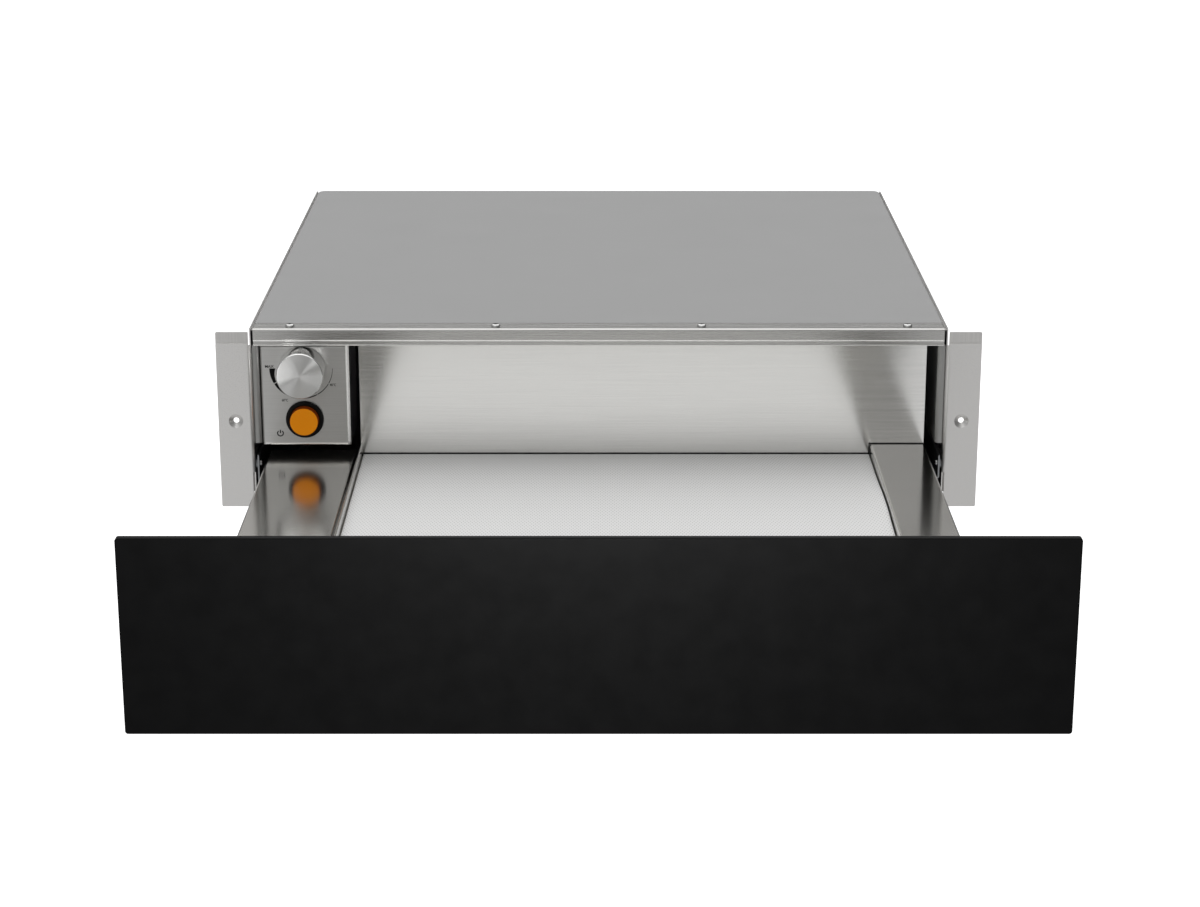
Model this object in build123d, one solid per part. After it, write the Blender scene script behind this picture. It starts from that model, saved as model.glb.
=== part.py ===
from build123d import *
import os

# Built-in warming drawer, drawn with the drawer pulled fully out.
# X runs to the right, Y into the cabinet and Z up. The origin is in the plane of the
# mounting flanges (y = 0), on the centre line, at the bottom of the base (z = 0).
# All sizes are in millimetres. Right-hand pieces are drawn and the left-hand ones mirrored.

# ---------------------------------------------------------------- sheet thicknesses
SHEET = 1.0                 # cabinet and back panel
TRAY_SHEET = 0.8            # drawer tray, liners and control box
RAIL_SHEET = 1.2            # runner profiles
CUT = 1.0                   # how far a cutting body runs past the piece it cuts

# ---------------------------------------------------------------- cabinet
BODY_HALF = 271.0           # outer face of a side wall
BODY_TOP = 144.7
BODY_REAR = 528.7
WALL_INSIDE = BODY_HALF - SHEET
WALL_FRONT_Y = 0.6          # front edge of the wall above and below the flange's bend
WALL_REAR_Y = BODY_REAR - 4.0
RETURN = 13.0               # width of the wall's top and bottom returns
LINER_INSIDE = 264.2        # inner face of a side liner
LINER_LOW = 51.3

FRONT_HALF = 297.5          # half of 595 mm, for the glass and the flanges
FLANGE_TOP = 133.1
BACKING_TOP = 141.9
BEND_LOW, BEND_HIGH = 28.2, 131.5   # the flange is folded from the wall only between these
BEND_CLEAR = 2.6            # from the wall to the flat of the flange beside its bend
SLIT_CLEAR = 1.2            # from the wall to the flange above and below the bend
HOLE_X, HOLE_Z, HOLE_R = 283.9, 70.3, 2.25
DIMPLE_R = 5.6              # mouth of the pressed countersink
CORNER_R = 1.2              # outer corners of the flange

COVER_HALF = 268.4
COVER_FRONT_Y = 19.0
COVER_SCREW_X, COVER_SCREW_Z = (-225, -75, 75, 225), BODY_TOP - 6.0
LOWER_SCREW_X, LOWER_SCREW_Z = (-240, 0, 240), 12.0
SHEET_HOLE_R = 1.9          # hole for a self-tapping screw

RAIL_HALF = 268.3           # front rail
RAIL_FACE_LOW = 135.5       # lower bend of its face
RAIL_BOTTOM = 131.5
RAIL_SCREW_X, RAIL_SCREW_Y = (-240, -80, 80, 240), 7.5

GLAND_X, GLAND_Z, GLAND_R, GLAND_BORE = -200.0, 32.0, 8.0, 4.0

# ---------------------------------------------------------------- drawer
FRONT_BOTTOM, FRONT_TOP = 0.3, 130.4
GLASS = 5.0
FRONT_OPEN_Y = -454.2       # face of the glass with the drawer open
TRAVEL = 428.0              # full stroke of the drawer
TAPE = 0.8
CARRIER_HALF = 285.5
CARRIER_LOW, CARRIER_HIGH = 8.0, 122.0
CARRIER_Y = FRONT_OPEN_Y + GLASS + TAPE
CARRIER_SCREW_X, CARRIER_SCREW_Z = (-170.0, -60.0, 60.0, 170.0, 240.0), 62.0
RELIEF_LEFT, RELIEF_RIGHT = -258.0, -204.0      # opening in the front for the controls

TRAY_LEFT, TRAY_RIGHT = -259.7, 257.5
TRAY_FRONT_Y = FRONT_OPEN_Y + 24.0
TRAY_REAR_Y = 15.9
LEDGE_TOP = 46.8
LEFT_DROP = 4.8             # the left ledge and its runner lie lower, under the control box
LEFT_LEDGE_END = -191.7
GROOVE_FLOOR = 31.6         # underside of the groove between the left ledge and the rim
RIM_FOLD = 1.0              # between the two sheets of the recess's rolled left rim
LEDGE_EDGE_LOW = 40.5       # clears the middle rails, which pass below
RECESS_LEFT, RECESS_RIGHT = -186.8, 214.6
RECESS_FLOOR = 37.2
FLANGE_START = -200.0       # left end of the tray's front flange, beside the controls
MAT = 1.5
MAT_SIDE_GAP, MAT_REAR_GAP = 0.9, 2.2

PANEL_Y = 16.7              # front face of the drawer's back panel
PANEL_LEFT, PANEL_RIGHT = -188.0, 257.0
PANEL_TOP = 134.5

PAN_FRONT_Y, PAN_REAR_Y = TRAY_FRONT_Y + 10.0, 0.0      # cover under the heater
PAN_LEFT, PAN_RIGHT, PAN_LOW = -185.0, 212.0, 22.6
UNDER_FLOOR = RECESS_FLOOR - TRAY_SHEET
HEATER = 1.0
BOARD = 11.4
CUTOUT_X, CUTOUT_Y = 90.0, -190.0

# ---------------------------------------------------------------- controls
BOX_LEFT, BOX_RIGHT = -263.8, -194.7
BOX_LOW, BOX_HIGH = 49.5, 131.0
BOX_FACE_Y, BOX_REAR_Y = 3.0, 62.0
KNOB_X, KNOB_Z, KNOB_R = -230.9, 111.7, 18.3
KNOB_BACK_Y = BOX_FACE_Y - 1.0
KNOB_FACE_Y = KNOB_BACK_Y - 21.0
SHAFT_R = 3.0
SHAFT_FRONT_Y = KNOB_FACE_Y + 6.0
BUTTON_X, BUTTON_Z = -230.2, 71.0
BEZEL_R, BARREL_R = 14.8, 12.0
CAP_R, CAP_HEIGHT = 11.0, 9.0
CAP_BORE = CAP_R + 0.25     # bore of the bezel and the barrel round the cap

# ---------------------------------------------------------------- runners
RUNNER_START, RUNNER_LENGTH = 3.0, 490.0
RUNNER_LOW, RUNNER_HIGH = 22.2, 41.8
RUNNER_WEB_X = 268.0        # middle of the fixed rail's upright web
RUNNER_SCREW_Y, RUNNER_SCREW_Z = (11.6, 250.0, 470.0), 32.8
TRACK_TOP = 33.0
MIDDLE_LENGTH = 470.0
MIDDLE_INSIDE, MIDDLE_TOP = 36.8, 38.0
DRAWER_RAIL_LENGTH = 442.0
DRAWER_RAIL_INSIDE = LEDGE_TOP - TRAY_SHEET - RAIL_SHEET
CAGE_LENGTH, CAGE_ROLLERS = 200.0, 6
LOWER_CAGE_START, UPPER_CAGE_START = 12.0, -204.0

# ---------------------------------------------------------------- push-to-open latch
LATCH_Z, LATCH_FRONT_Y = 72.0, 486.0
STRIKER = 1.5
STRIKER_Y = PANEL_Y + SHEET
PLUNGER_R, PLUNGER_LENGTH = 4.0, 64.0
PLUNGER_CLEAR = 0.5         # left between the closed striker and the plunger
PLUNGER_TIP_Y = STRIKER_Y + STRIKER + TRAVEL + PLUNGER_CLEAR

NODES = {}


# ---------------------------------------------------------------- helpers
def block(x0, x1, y0, y1, z0, z1):
    """A plain cuboid between two corners."""
    centre = ((x0 + x1) / 2, (y0 + y1) / 2, (z0 + z1) / 2)
    return Pos(*centre) * Box(abs(x1 - x0), abs(y1 - y0), abs(z1 - z0))


def sheet_section(points, thickness, radius):
    """The cut edge of a folded sheet, from the points of its middle line."""
    return trace(FilletPolyline(*points, radius=radius), thickness)


def fold_along_x(points, x0, x1, thickness=SHEET, radius=1.5):
    """A folded sheet with (y, z) corners, running from x0 to x1."""
    section = sheet_section(points, thickness, radius)
    return extrude(Plane.YZ.offset(x0) * section, x1 - x0)


def fold_along_y(points, y0, y1, thickness=SHEET, radius=1.5):
    """A folded sheet with (x, z) corners, running from y0 to y1."""
    section = sheet_section(points, thickness, radius)
    return extrude(Plane.XZ.offset(-y1) * section, y1 - y0)


def fold_along_z(points, z0, z1, thickness=SHEET, radius=1.5):
    """A folded sheet with (x, y) corners, running from z0 to z1."""
    section = sheet_section(points, thickness, radius)
    return extrude(Plane.XY.offset(z0) * section, z1 - z0)


def disc_along(axis, centre, radius, start, end):
    """A cylinder along 'x', 'y' or 'z' between two places on that axis."""
    if axis == "x":
        at = Plane(origin=(start, centre[0], centre[1]), x_dir=(0, 1, 0), z_dir=(1, 0, 0))
    elif axis == "y":
        at = Plane(origin=(centre[0], start, centre[1]), x_dir=(1, 0, 0), z_dir=(0, 1, 0))
    else:
        at = Plane(origin=(centre[0], centre[1], start), x_dir=(1, 0, 0), z_dir=(0, 0, 1))
    return at * extrude(Circle(radius), end - start)


def turned_along_y(x, z, profile):
    """A turned piece about a line through (x, z) along Y, from (radius, y) corners."""
    section = make_face(Polyline(*profile, close=True))
    turned = revolve(Plane.XZ * section, Axis.Z)
    at = Plane(origin=(x, 0, z), x_dir=(1, 0, 0), z_dir=(0, 1, 0))
    return at * turned


def slot_through_y(x, y, z, length, width, depth):
    """A round-ended slot along X, reaching from y towards the front by its depth."""
    at = Plane(origin=(x, y, z), x_dir=(1, 0, 0), z_dir=(0, -1, 0))
    return extrude(at * SlotOverall(length, width), depth)


def pan_screw(seat, outward, shank=6.0, head_r=3.6, shank_r=1.85):
    """A pan-head screw with a cross recess. Outward points from the seat to the head."""
    head_h = 0.62 * head_r
    head = Pos(0, 0, head_h / 2) * Cylinder(head_r, head_h)
    head = fillet(head.edges().sort_by(Axis.Z)[-1:], 0.7 * head_h)
    slot_width, slot_length, slot_depth = 0.28 * head_r, 1.15 * head_r, 0.45 * head_h
    for turn in (0, 90):
        cross = Pos(0, 0, head_h - slot_depth / 2) * Box(slot_length, slot_width, slot_depth)
        head -= Rot(0, 0, turn) * cross
    screw = head + Pos(0, 0, -shank / 2) * Cylinder(shank_r, shank)
    return Plane(origin=seat, z_dir=outward) * screw


def mirrored(solid):
    """The same piece on the left-hand side."""
    return mirror(solid, about=Plane.YZ)


def both_sides(name, right_piece):
    """Store a right-hand piece and its mirror image as two nodes."""
    NODES["right_" + name] = right_piece
    NODES["left_" + name] = mirrored(right_piece)


def both_runners(name, make):
    """Store a runner piece twice: as it is on the right, and dropped on the left."""
    NODES["right_" + name] = make(0.0)
    NODES["left_" + name] = mirrored(make(LEFT_DROP))


def open_shell(outer, wall, open_face):
    """Hollow a solid to a wall thickness, leaving one face off."""
    return offset(outer, amount=-wall, openings=[open_face])


def round_outer_corners(plate):
    """Round the two corners of a flange that lie furthest from the cabinet."""
    corners = plate.edges().filter_by(Axis.Y).group_by(Axis.X)[-1]
    return fillet(corners, CORNER_R)


# ---------------------------------------------------------------- cabinet sheets
def side_panel():
    """Side wall with top and bottom returns and the outward mounting flange."""
    wall_x = BODY_HALF - SHEET / 2
    return_x = BODY_HALF - RETURN
    low, high = 1.5 * SHEET, BODY_TOP - 1.5 * SHEET
    wall = [(return_x, high), (wall_x, high), (wall_x, low), (return_x, low)]
    front_y = 4.0
    panel = fold_along_y(wall, front_y, WALL_REAR_Y)
    # Above and below the flange's bend the wall runs on to the front.
    for z0, z1 in ((low + SHEET, BEND_LOW), (BEND_HIGH, BODY_TOP)):
        panel += block(WALL_INSIDE, BODY_HALF, WALL_FRONT_Y, front_y + SHEET, z0, z1)
    # Its top edge stands up beside the cover.
    panel += block(WALL_INSIDE, BODY_HALF, WALL_FRONT_Y, WALL_REAR_Y, high - 2 * SHEET, BODY_TOP)

    bend_root_y = 9.0
    bend = [(wall_x, bend_root_y), (wall_x, SHEET / 2), (FRONT_HALF, SHEET / 2)]
    panel += fold_along_z(bend, BEND_LOW, BEND_HIGH, radius=2.5)
    panel += block(BODY_HALF + BEND_CLEAR, FRONT_HALF, 0, SHEET, 0, FLANGE_TOP)
    for z0, z1 in ((0, BEND_LOW), (BEND_HIGH, FLANGE_TOP)):
        panel += block(BODY_HALF + SLIT_CLEAR, FRONT_HALF, 0, SHEET, z0, z1)
    panel = round_outer_corners(panel)

    # The screw hole is pressed in as a cone, so that a countersunk head sits flush.
    cone_depth, cone_floor = 2.4, 3.4
    outside = DIMPLE_R + 1.0
    panel -= disc_along("y", (HOLE_X, HOLE_Z), outside, -CUT, SHEET + CUT)
    dimple = [
        (DIMPLE_R, 0), (HOLE_R, cone_depth), (HOLE_R, cone_floor), (HOLE_R + 0.8, cone_floor),
        (outside, SHEET), (outside, 0),
    ]
    return panel + turned_along_y(HOLE_X, HOLE_Z, dimple)


def flange_backing():
    """Angle behind the flange, with a web along the outside of the wall."""
    plate_y = 1.5 * SHEET
    web_x = BODY_HALF + SHEET / 2
    web_rear_y = 22.0
    angle = [(web_x, web_rear_y), (web_x, plate_y), (FRONT_HALF, plate_y)]
    backing = fold_along_z(angle, 12.0, 122.0)
    backing += block(BODY_HALF + BEND_CLEAR, FRONT_HALF, SHEET, 2 * SHEET, 0, BACKING_TOP)
    for z0, z1 in ((0, BEND_LOW), (BEND_HIGH, BACKING_TOP)):
        backing += block(BODY_HALF + SLIT_CLEAR, FRONT_HALF, SHEET, 2 * SHEET, z0, z1)
    backing = round_outer_corners(backing)
    return backing - disc_along("y", (HOLE_X, HOLE_Z), DIMPLE_R + 1.3, 0, 2 * SHEET + CUT)


def side_liner():
    """Strip standing off the wall above the runner, both ends turned out to the wall."""
    strip_x = LINER_INSIDE + TRAY_SHEET / 2
    foot_x = WALL_INSIDE - 0.2
    front_y, rear_y = 3.9, 500.0
    strip = [(foot_x, front_y), (strip_x, front_y), (strip_x, rear_y), (foot_x, rear_y)]
    return fold_along_z(strip, LINER_LOW, RAIL_BOTTOM - 0.4, TRAY_SHEET, [2.5, 1.5])


def base_panel():
    """Bottom sheet with stiffening beads and an upturned front edge."""
    half = WALL_INSIDE - 1.0
    lip_y, lip_top = -1.2, 7.0
    profile = [(BODY_REAR - 3.0, SHEET / 2), (lip_y, SHEET / 2), (lip_y, lip_top)]
    base = fold_along_x(profile, -half, half, radius=0.8)
    bead_height, bead_width, bead_length, bead_y = 1.5, 10.0, 380.0, 265.0
    for x in (-180, -60, 60, 180):
        outline = SlotOverall(bead_length, bead_width, rotation=90)
        bead = extrude(Pos(x, bead_y, SHEET) * outline, bead_height)
        base += fillet(bead.faces().sort_by(Axis.Z)[-1].edges(), 0.9 * bead_height)
    return base


def rear_panel():
    """Back sheet with side returns, ventilation slots and the cord hole."""
    back_y = BODY_REAR - 1.3
    side_x = WALL_INSIDE - SHEET / 2
    return_y, clear = 508.0, 3.2
    pan = [(-side_x, return_y), (-side_x, back_y), (side_x, back_y), (side_x, return_y)]
    panel = fold_along_z(pan, clear, BODY_TOP - clear, radius=3.0)
    first_x, slot_pitch, slot_z, row_pitch = -110.0, 44.0, 104.0, 10.0
    for row in range(2):
        for column in range(6):
            at = (first_x + slot_pitch * column, BODY_REAR, slot_z + row_pitch * row)
            panel -= slot_through_y(*at, length=34, width=4, depth=6)
    holes = [(x, LOWER_SCREW_Z) for x in LOWER_SCREW_X] + [(x, COVER_SCREW_Z) for x in COVER_SCREW_X]
    for hole in holes:
        panel -= disc_along("y", hole, SHEET_HOLE_R, back_y - 5, back_y + 5)
    return panel - disc_along("y", (GLAND_X, GLAND_Z), GLAND_R, back_y - 5, back_y + 5)


def top_cover():
    """Flat cover with rounded rear corners and a rear edge turned down."""
    plate = block(-COVER_HALF, COVER_HALF, COVER_FRONT_Y, BODY_REAR - 1.6, BODY_TOP - SHEET, BODY_TOP)
    rear_corners = plate.edges().filter_by(Axis.Z).group_by(Axis.Y)[-1]
    plate = fillet(rear_corners, 6.0)
    edge_sheet, edge_drop, edge_short = 0.8, 11.0, 8.0
    edge_y, edge_z = BODY_REAR - edge_sheet / 2, BODY_TOP - edge_sheet / 2
    edge = [(BODY_REAR - 20.0, edge_z), (edge_y, edge_z), (edge_y, BODY_TOP - edge_drop)]
    cover = plate + fold_along_x(edge, edge_short - COVER_HALF, COVER_HALF - edge_short, edge_sheet, 1.2)
    for x in COVER_SCREW_X:
        cover -= disc_along("y", (x, COVER_SCREW_Z), SHEET_HOLE_R, BODY_REAR - 5, BODY_REAR + 5)
    return cover


def front_rail():
    """Rail across the mouth: top flange, face with a step, and a returned lip."""
    top_z = BODY_TOP - SHEET / 2
    face_y, step_y, lip_rear_y = 0.5, 1.5, 12.0
    lip_z = RAIL_BOTTOM + SHEET / 2
    section = [
        (COVER_FRONT_Y - 0.4, top_z), (face_y, top_z), (face_y, RAIL_FACE_LOW + 0.6),
        (step_y, RAIL_FACE_LOW - 0.4), (step_y, lip_z), (lip_rear_y, lip_z),
    ]
    rail = fold_along_x(section, -RAIL_HALF, RAIL_HALF, radius=[1.3, 0.6, 0.6, 1.0])
    for x in RAIL_SCREW_X:
        rail -= disc_along("z", (x, RAIL_SCREW_Y), 2.1, BODY_TOP - 4, BODY_TOP + CUT)
    return rail


def cross_brace():
    """Angle under the rail and the cover, tabbed onto the side panels."""
    under = BODY_TOP - SHEET
    front_y, rear_y, drop = 6.0, 34.0, 6.0
    section = [(front_y, under - SHEET / 2), (rear_y, under - SHEET / 2), (rear_y, under - drop)]
    half = BODY_HALF - RETURN - 0.4
    brace = fold_along_x(section, -half, half)
    for side in (-1, 1):
        tab = (side * (half - 6), side * (WALL_INSIDE - 2.0))
        brace += block(*tab, front_y + 2, rear_y - 4, under - 2 * SHEET, under - SHEET)
    for x in RAIL_SCREW_X:
        brace -= disc_along("z", (x, RAIL_SCREW_Y), SHEET_HOLE_R, BODY_TOP - 4, BODY_TOP + CUT)
    return brace


def front_rail_screws():
    seats = [(x, RAIL_SCREW_Y, BODY_TOP) for x in RAIL_SCREW_X]
    return Compound([pan_screw(seat, (0, 0, 1)) for seat in seats])


def housing_screws():
    """Self-tapping screws through the cover's rear edge and the rear panel."""
    cover = [(x, BODY_REAR, COVER_SCREW_Z) for x in COVER_SCREW_X]
    lower = [(x, BODY_REAR - 0.8, LOWER_SCREW_Z) for x in LOWER_SCREW_X]
    return Compound([pan_screw(seat, (0, 1, 0), shank=5.0, head_r=3.2) for seat in cover + lower])


# ---------------------------------------------------------------- runners
def cabinet_rail(drop):
    """Fixed runner profile: top lip, upright web, floor, guide lip and raised track."""
    half_sheet = RAIL_SHEET / 2
    lip_x, guide_x, guide_top = WALL_INSIDE - 0.3, 238.6, 28.0 - drop
    lip_z, floor_z = RUNNER_HIGH - half_sheet, RUNNER_LOW - drop + half_sheet
    profile = [
        (lip_x, lip_z), (RUNNER_WEB_X, lip_z), (RUNNER_WEB_X, floor_z), (guide_x, floor_z),
        (guide_x, guide_top),
    ]
    rear_y = RUNNER_START + RUNNER_LENGTH
    rail = fold_along_y(profile, RUNNER_START, rear_y, RAIL_SHEET, 1.0)
    # The track is a hat profile that stands on the floor.
    track_z, foot_z = TRACK_TOP - drop - half_sheet, floor_z + RAIL_SHEET
    track = [
        (240.6, foot_z), (243.6, foot_z), (243.6, track_z),
        (249.4, track_z), (249.4, foot_z), (252.4, foot_z),
    ]
    rail += fold_along_y(track, RUNNER_START, rear_y, RAIL_SHEET, 1.0)
    # The lip's front end is cut at an angle.
    cut_outline = Polyline(
        (RUNNER_WEB_X + 0.4, RUNNER_START), (WALL_INSIDE, RUNNER_START), (WALL_INSIDE, RUNNER_START + 4.5),
        close=True)
    rail -= extrude(Plane.XY.offset(lip_z - CUT) * make_face(cut_outline), 2 * CUT)
    web_back = RUNNER_WEB_X + half_sheet
    for y in RUNNER_SCREW_Y:
        rail += disc_along("x", (y, RUNNER_SCREW_Z), 5.0, web_back, WALL_INSIDE)
        rail -= disc_along("x", (y, RUNNER_SCREW_Z), 1.6, web_back - 2, WALL_INSIDE)
    return rail


def middle_rail(drop):
    """Inverted channel that rides over the fixed track."""
    top = MIDDLE_TOP - drop - RAIL_SHEET / 2
    low, inner_x, outer_x = 26.0 - drop, 240.8, 252.2
    profile = [(inner_x, low), (inner_x, top), (outer_x, top), (outer_x, low)]
    rear = 5.0 + MIDDLE_LENGTH - TRAVEL / 2
    return fold_along_y(profile, rear - MIDDLE_LENGTH, rear, RAIL_SHEET, 1.2)


def drawer_rail(drop):
    """Inverted channel under a ledge of the tray, closed at its front end."""
    top = LEDGE_TOP - drop - TRAY_SHEET - RAIL_SHEET / 2
    low, inner_x, outer_x = 30.0 - drop, 237.4, 255.6
    profile = [(inner_x, low), (inner_x, top), (outer_x, top), (outer_x, low)]
    rear = TRAY_REAR_Y - 2.0
    front = rear - DRAWER_RAIL_LENGTH
    rail = fold_along_y(profile, front, rear, RAIL_SHEET, 1.2)
    return rail + block(inner_x, outer_x, front, front + RAIL_SHEET, low, top)


def roller_cage(x0, x1, low, high, start):
    """A flat cage with rollers that just clear the tracks below and above it."""
    middle = (low + high) / 2
    roller_r = (high - low) / 2 - 0.08
    cage_half, cage_margin = 0.6, 1.0
    cage = block(x0, x1, start, start + CAGE_LENGTH, middle - cage_half, middle + cage_half)
    pitch = CAGE_LENGTH / CAGE_ROLLERS
    for i in range(CAGE_ROLLERS):
        y = start + pitch * (i + 0.5)
        cage += disc_along("x", (y, middle), roller_r, x0 + cage_margin, x1 - cage_margin)
    return cage


def lower_roller_cage(drop):
    return roller_cage(243.0, 250.0, TRACK_TOP - drop, MIDDLE_INSIDE - drop, LOWER_CAGE_START)


def upper_roller_cage(drop):
    return roller_cage(241.0, 252.0, MIDDLE_TOP - drop, DRAWER_RAIL_INSIDE - drop, UPPER_CAGE_START)


def runner_screws():
    """Screws that hold the fixed runner profiles to the side walls."""
    web_face = RUNNER_WEB_X - RAIL_SHEET / 2
    seats = [(web_face, y, RUNNER_SCREW_Z) for y in RUNNER_SCREW_Y]
    right = [pan_screw(seat, (-1, 0, 0), shank=2.0, head_r=2.5, shank_r=1.5) for seat in seats]
    return Compound(right + [mirrored(screw) for screw in right])


# ---------------------------------------------------------------- controls
def control_box():
    """Folded box open at the back, with a wing that reaches the side liner."""
    outer = block(BOX_LEFT, BOX_RIGHT, BOX_FACE_Y, BOX_REAR_Y, BOX_LOW, BOX_HIGH)
    uprights = outer.edges().filter_by(Axis.Z).group_by(Axis.Y)[0]
    level = outer.edges().filter_by(Axis.X).group_by(Axis.Y)[0]
    outer = fillet(uprights + level, 2.4)
    back = outer.faces().sort_by(Axis.Y)[-1]
    box = open_shell(outer, TRAY_SHEET, back)
    box += block(-LINER_INSIDE, BOX_LEFT + 0.4, BOX_REAR_Y - TRAY_SHEET, BOX_REAR_Y, 60, 122)
    bush_hole_r, barrel_hole_r = 5.2, BARREL_R + 0.2
    face = (BOX_FACE_Y - CUT, BOX_FACE_Y + TRAY_SHEET + CUT)
    box -= disc_along("y", (KNOB_X, KNOB_Z), bush_hole_r, *face)
    return box - disc_along("y", (BUTTON_X, BUTTON_Z), barrel_hole_r, *face)


def thermostat_body():
    """Rotary thermostat: threaded bush through the box face, case and rear tabs."""
    axis = (KNOB_X, KNOB_Z)
    front, rear, half = BOX_FACE_Y + 3, BOX_FACE_Y + 27, 17
    case = block(KNOB_X - half, KNOB_X + half, front, rear, KNOB_Z - half, KNOB_Z + half)
    case = fillet(case.edges().filter_by(Axis.Y), 4.0)
    bush_r, nut_r = 5.0, 9.0
    case += disc_along("y", axis, bush_r, BOX_FACE_Y, front + CUT)
    case += disc_along("y", axis, nut_r, BOX_FACE_Y + TRAY_SHEET, front)
    case -= disc_along("y", axis, SHAFT_R + 0.05, BOX_FACE_Y - CUT, BOX_FACE_Y + 15)
    for x in (KNOB_X - 9, KNOB_X + 9):
        for z in (KNOB_Z - 8, KNOB_Z + 8):
            case += block(x - 3, x + 3, rear, rear + 8, z - 0.4, z + 0.4)
    return case


def control_knob():
    """Turned knob, hollow behind, with a hub, a rounded rim and two pointer grooves."""
    hub_r, wall = 5.5, 1.8
    rim_y = KNOB_FACE_Y + 0.6
    floor_y = KNOB_FACE_Y + 3.0
    hub_back_y = KNOB_BACK_Y + 0.4
    profile = [
        (0, KNOB_FACE_Y), (KNOB_R - 0.8, KNOB_FACE_Y), (KNOB_R - 0.2, rim_y),
        (KNOB_R, KNOB_BACK_Y), (KNOB_R - wall, KNOB_BACK_Y), (KNOB_R - wall, floor_y),
        (hub_r, floor_y), (hub_r, hub_back_y), (0, hub_back_y),
    ]
    knob = turned_along_y(KNOB_X, KNOB_Z, profile)
    knob -= d_shaft(SHAFT_R + 0.02, KNOB_BACK_Y + CUT, SHAFT_FRONT_Y)
    groove_top, groove_half, groove_depth = KNOB_Z + KNOB_R, 0.25, 0.5
    for x in (KNOB_X - 0.9, KNOB_X + 0.9):
        knob -= block(x - groove_half, x + groove_half, KNOB_FACE_Y + 2.0, KNOB_BACK_Y - 1.0,
                      groove_top - groove_depth, groove_top + CUT)
    return knob


def d_shaft(radius, rear, front):
    """A round bar along Y, flattened below in front of the thermostat's bush."""
    bar = disc_along("y", (KNOB_X, KNOB_Z), radius, front, rear)
    flat_z, flat_rear = KNOB_Z - 0.5 * SHAFT_R, BOX_FACE_Y - 1.2
    reach = 3 * SHAFT_R
    return bar - block(KNOB_X - reach, KNOB_X + reach, front - CUT, flat_rear, flat_z - reach, flat_z)


def knob_shaft():
    return d_shaft(SHAFT_R, BOX_FACE_Y + 14, SHAFT_FRONT_Y)


def switch_bezel():
    """Black ring with a rounded shoulder round the push button."""
    back, shoulder, crown = BOX_FACE_Y, BOX_FACE_Y - 1.4, BOX_FACE_Y - 2.6
    profile = [
        (CAP_BORE, back), (BEZEL_R, back), (BEZEL_R, shoulder), (BEZEL_R - 0.5, shoulder - 0.8),
        (BEZEL_R - 1.6, crown), (CAP_BORE + 0.6, crown), (CAP_BORE, crown + 0.5),
    ]
    return turned_along_y(BUTTON_X, BUTTON_Z, profile)


def switch_body():
    """Barrel through the box face, the switch case behind it and its tabs."""
    axis = (BUTTON_X, BUTTON_Z)
    case_front, case_rear = BOX_FACE_Y + 16, BOX_FACE_Y + 34
    barrel = disc_along("y", axis, BARREL_R, BOX_FACE_Y, case_front)
    barrel -= disc_along("y", axis, CAP_BORE, BOX_FACE_Y - CUT, case_front - 2)
    half_width, half_height = 11, 13
    case = block(BUTTON_X - half_width, BUTTON_X + half_width, case_front, case_rear,
                 BUTTON_Z - half_height, BUTTON_Z + half_height)
    body = barrel + fillet(case.edges().filter_by(Axis.Y), 2.0)
    for z in (BUTTON_Z - 8, BUTTON_Z, BUTTON_Z + 8):
        body += block(BUTTON_X - 3, BUTTON_X + 3, case_rear, case_rear + 8, z - 0.4, z + 0.4)
    return body


def button_cap():
    """Lit push cap: a hollow cup with a softly rounded edge."""
    axis = (BUTTON_X, BUTTON_Z)
    front, rear = BOX_FACE_Y - CAP_HEIGHT, BOX_FACE_Y + 9.0
    wall, face = 1.6, 1.8
    cap = disc_along("y", axis, CAP_R, front, rear)
    cap = fillet(cap.edges().group_by(Axis.Y)[0], 0.9)
    return cap - disc_along("y", axis, CAP_R - wall, front + face, rear + CUT)


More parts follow.
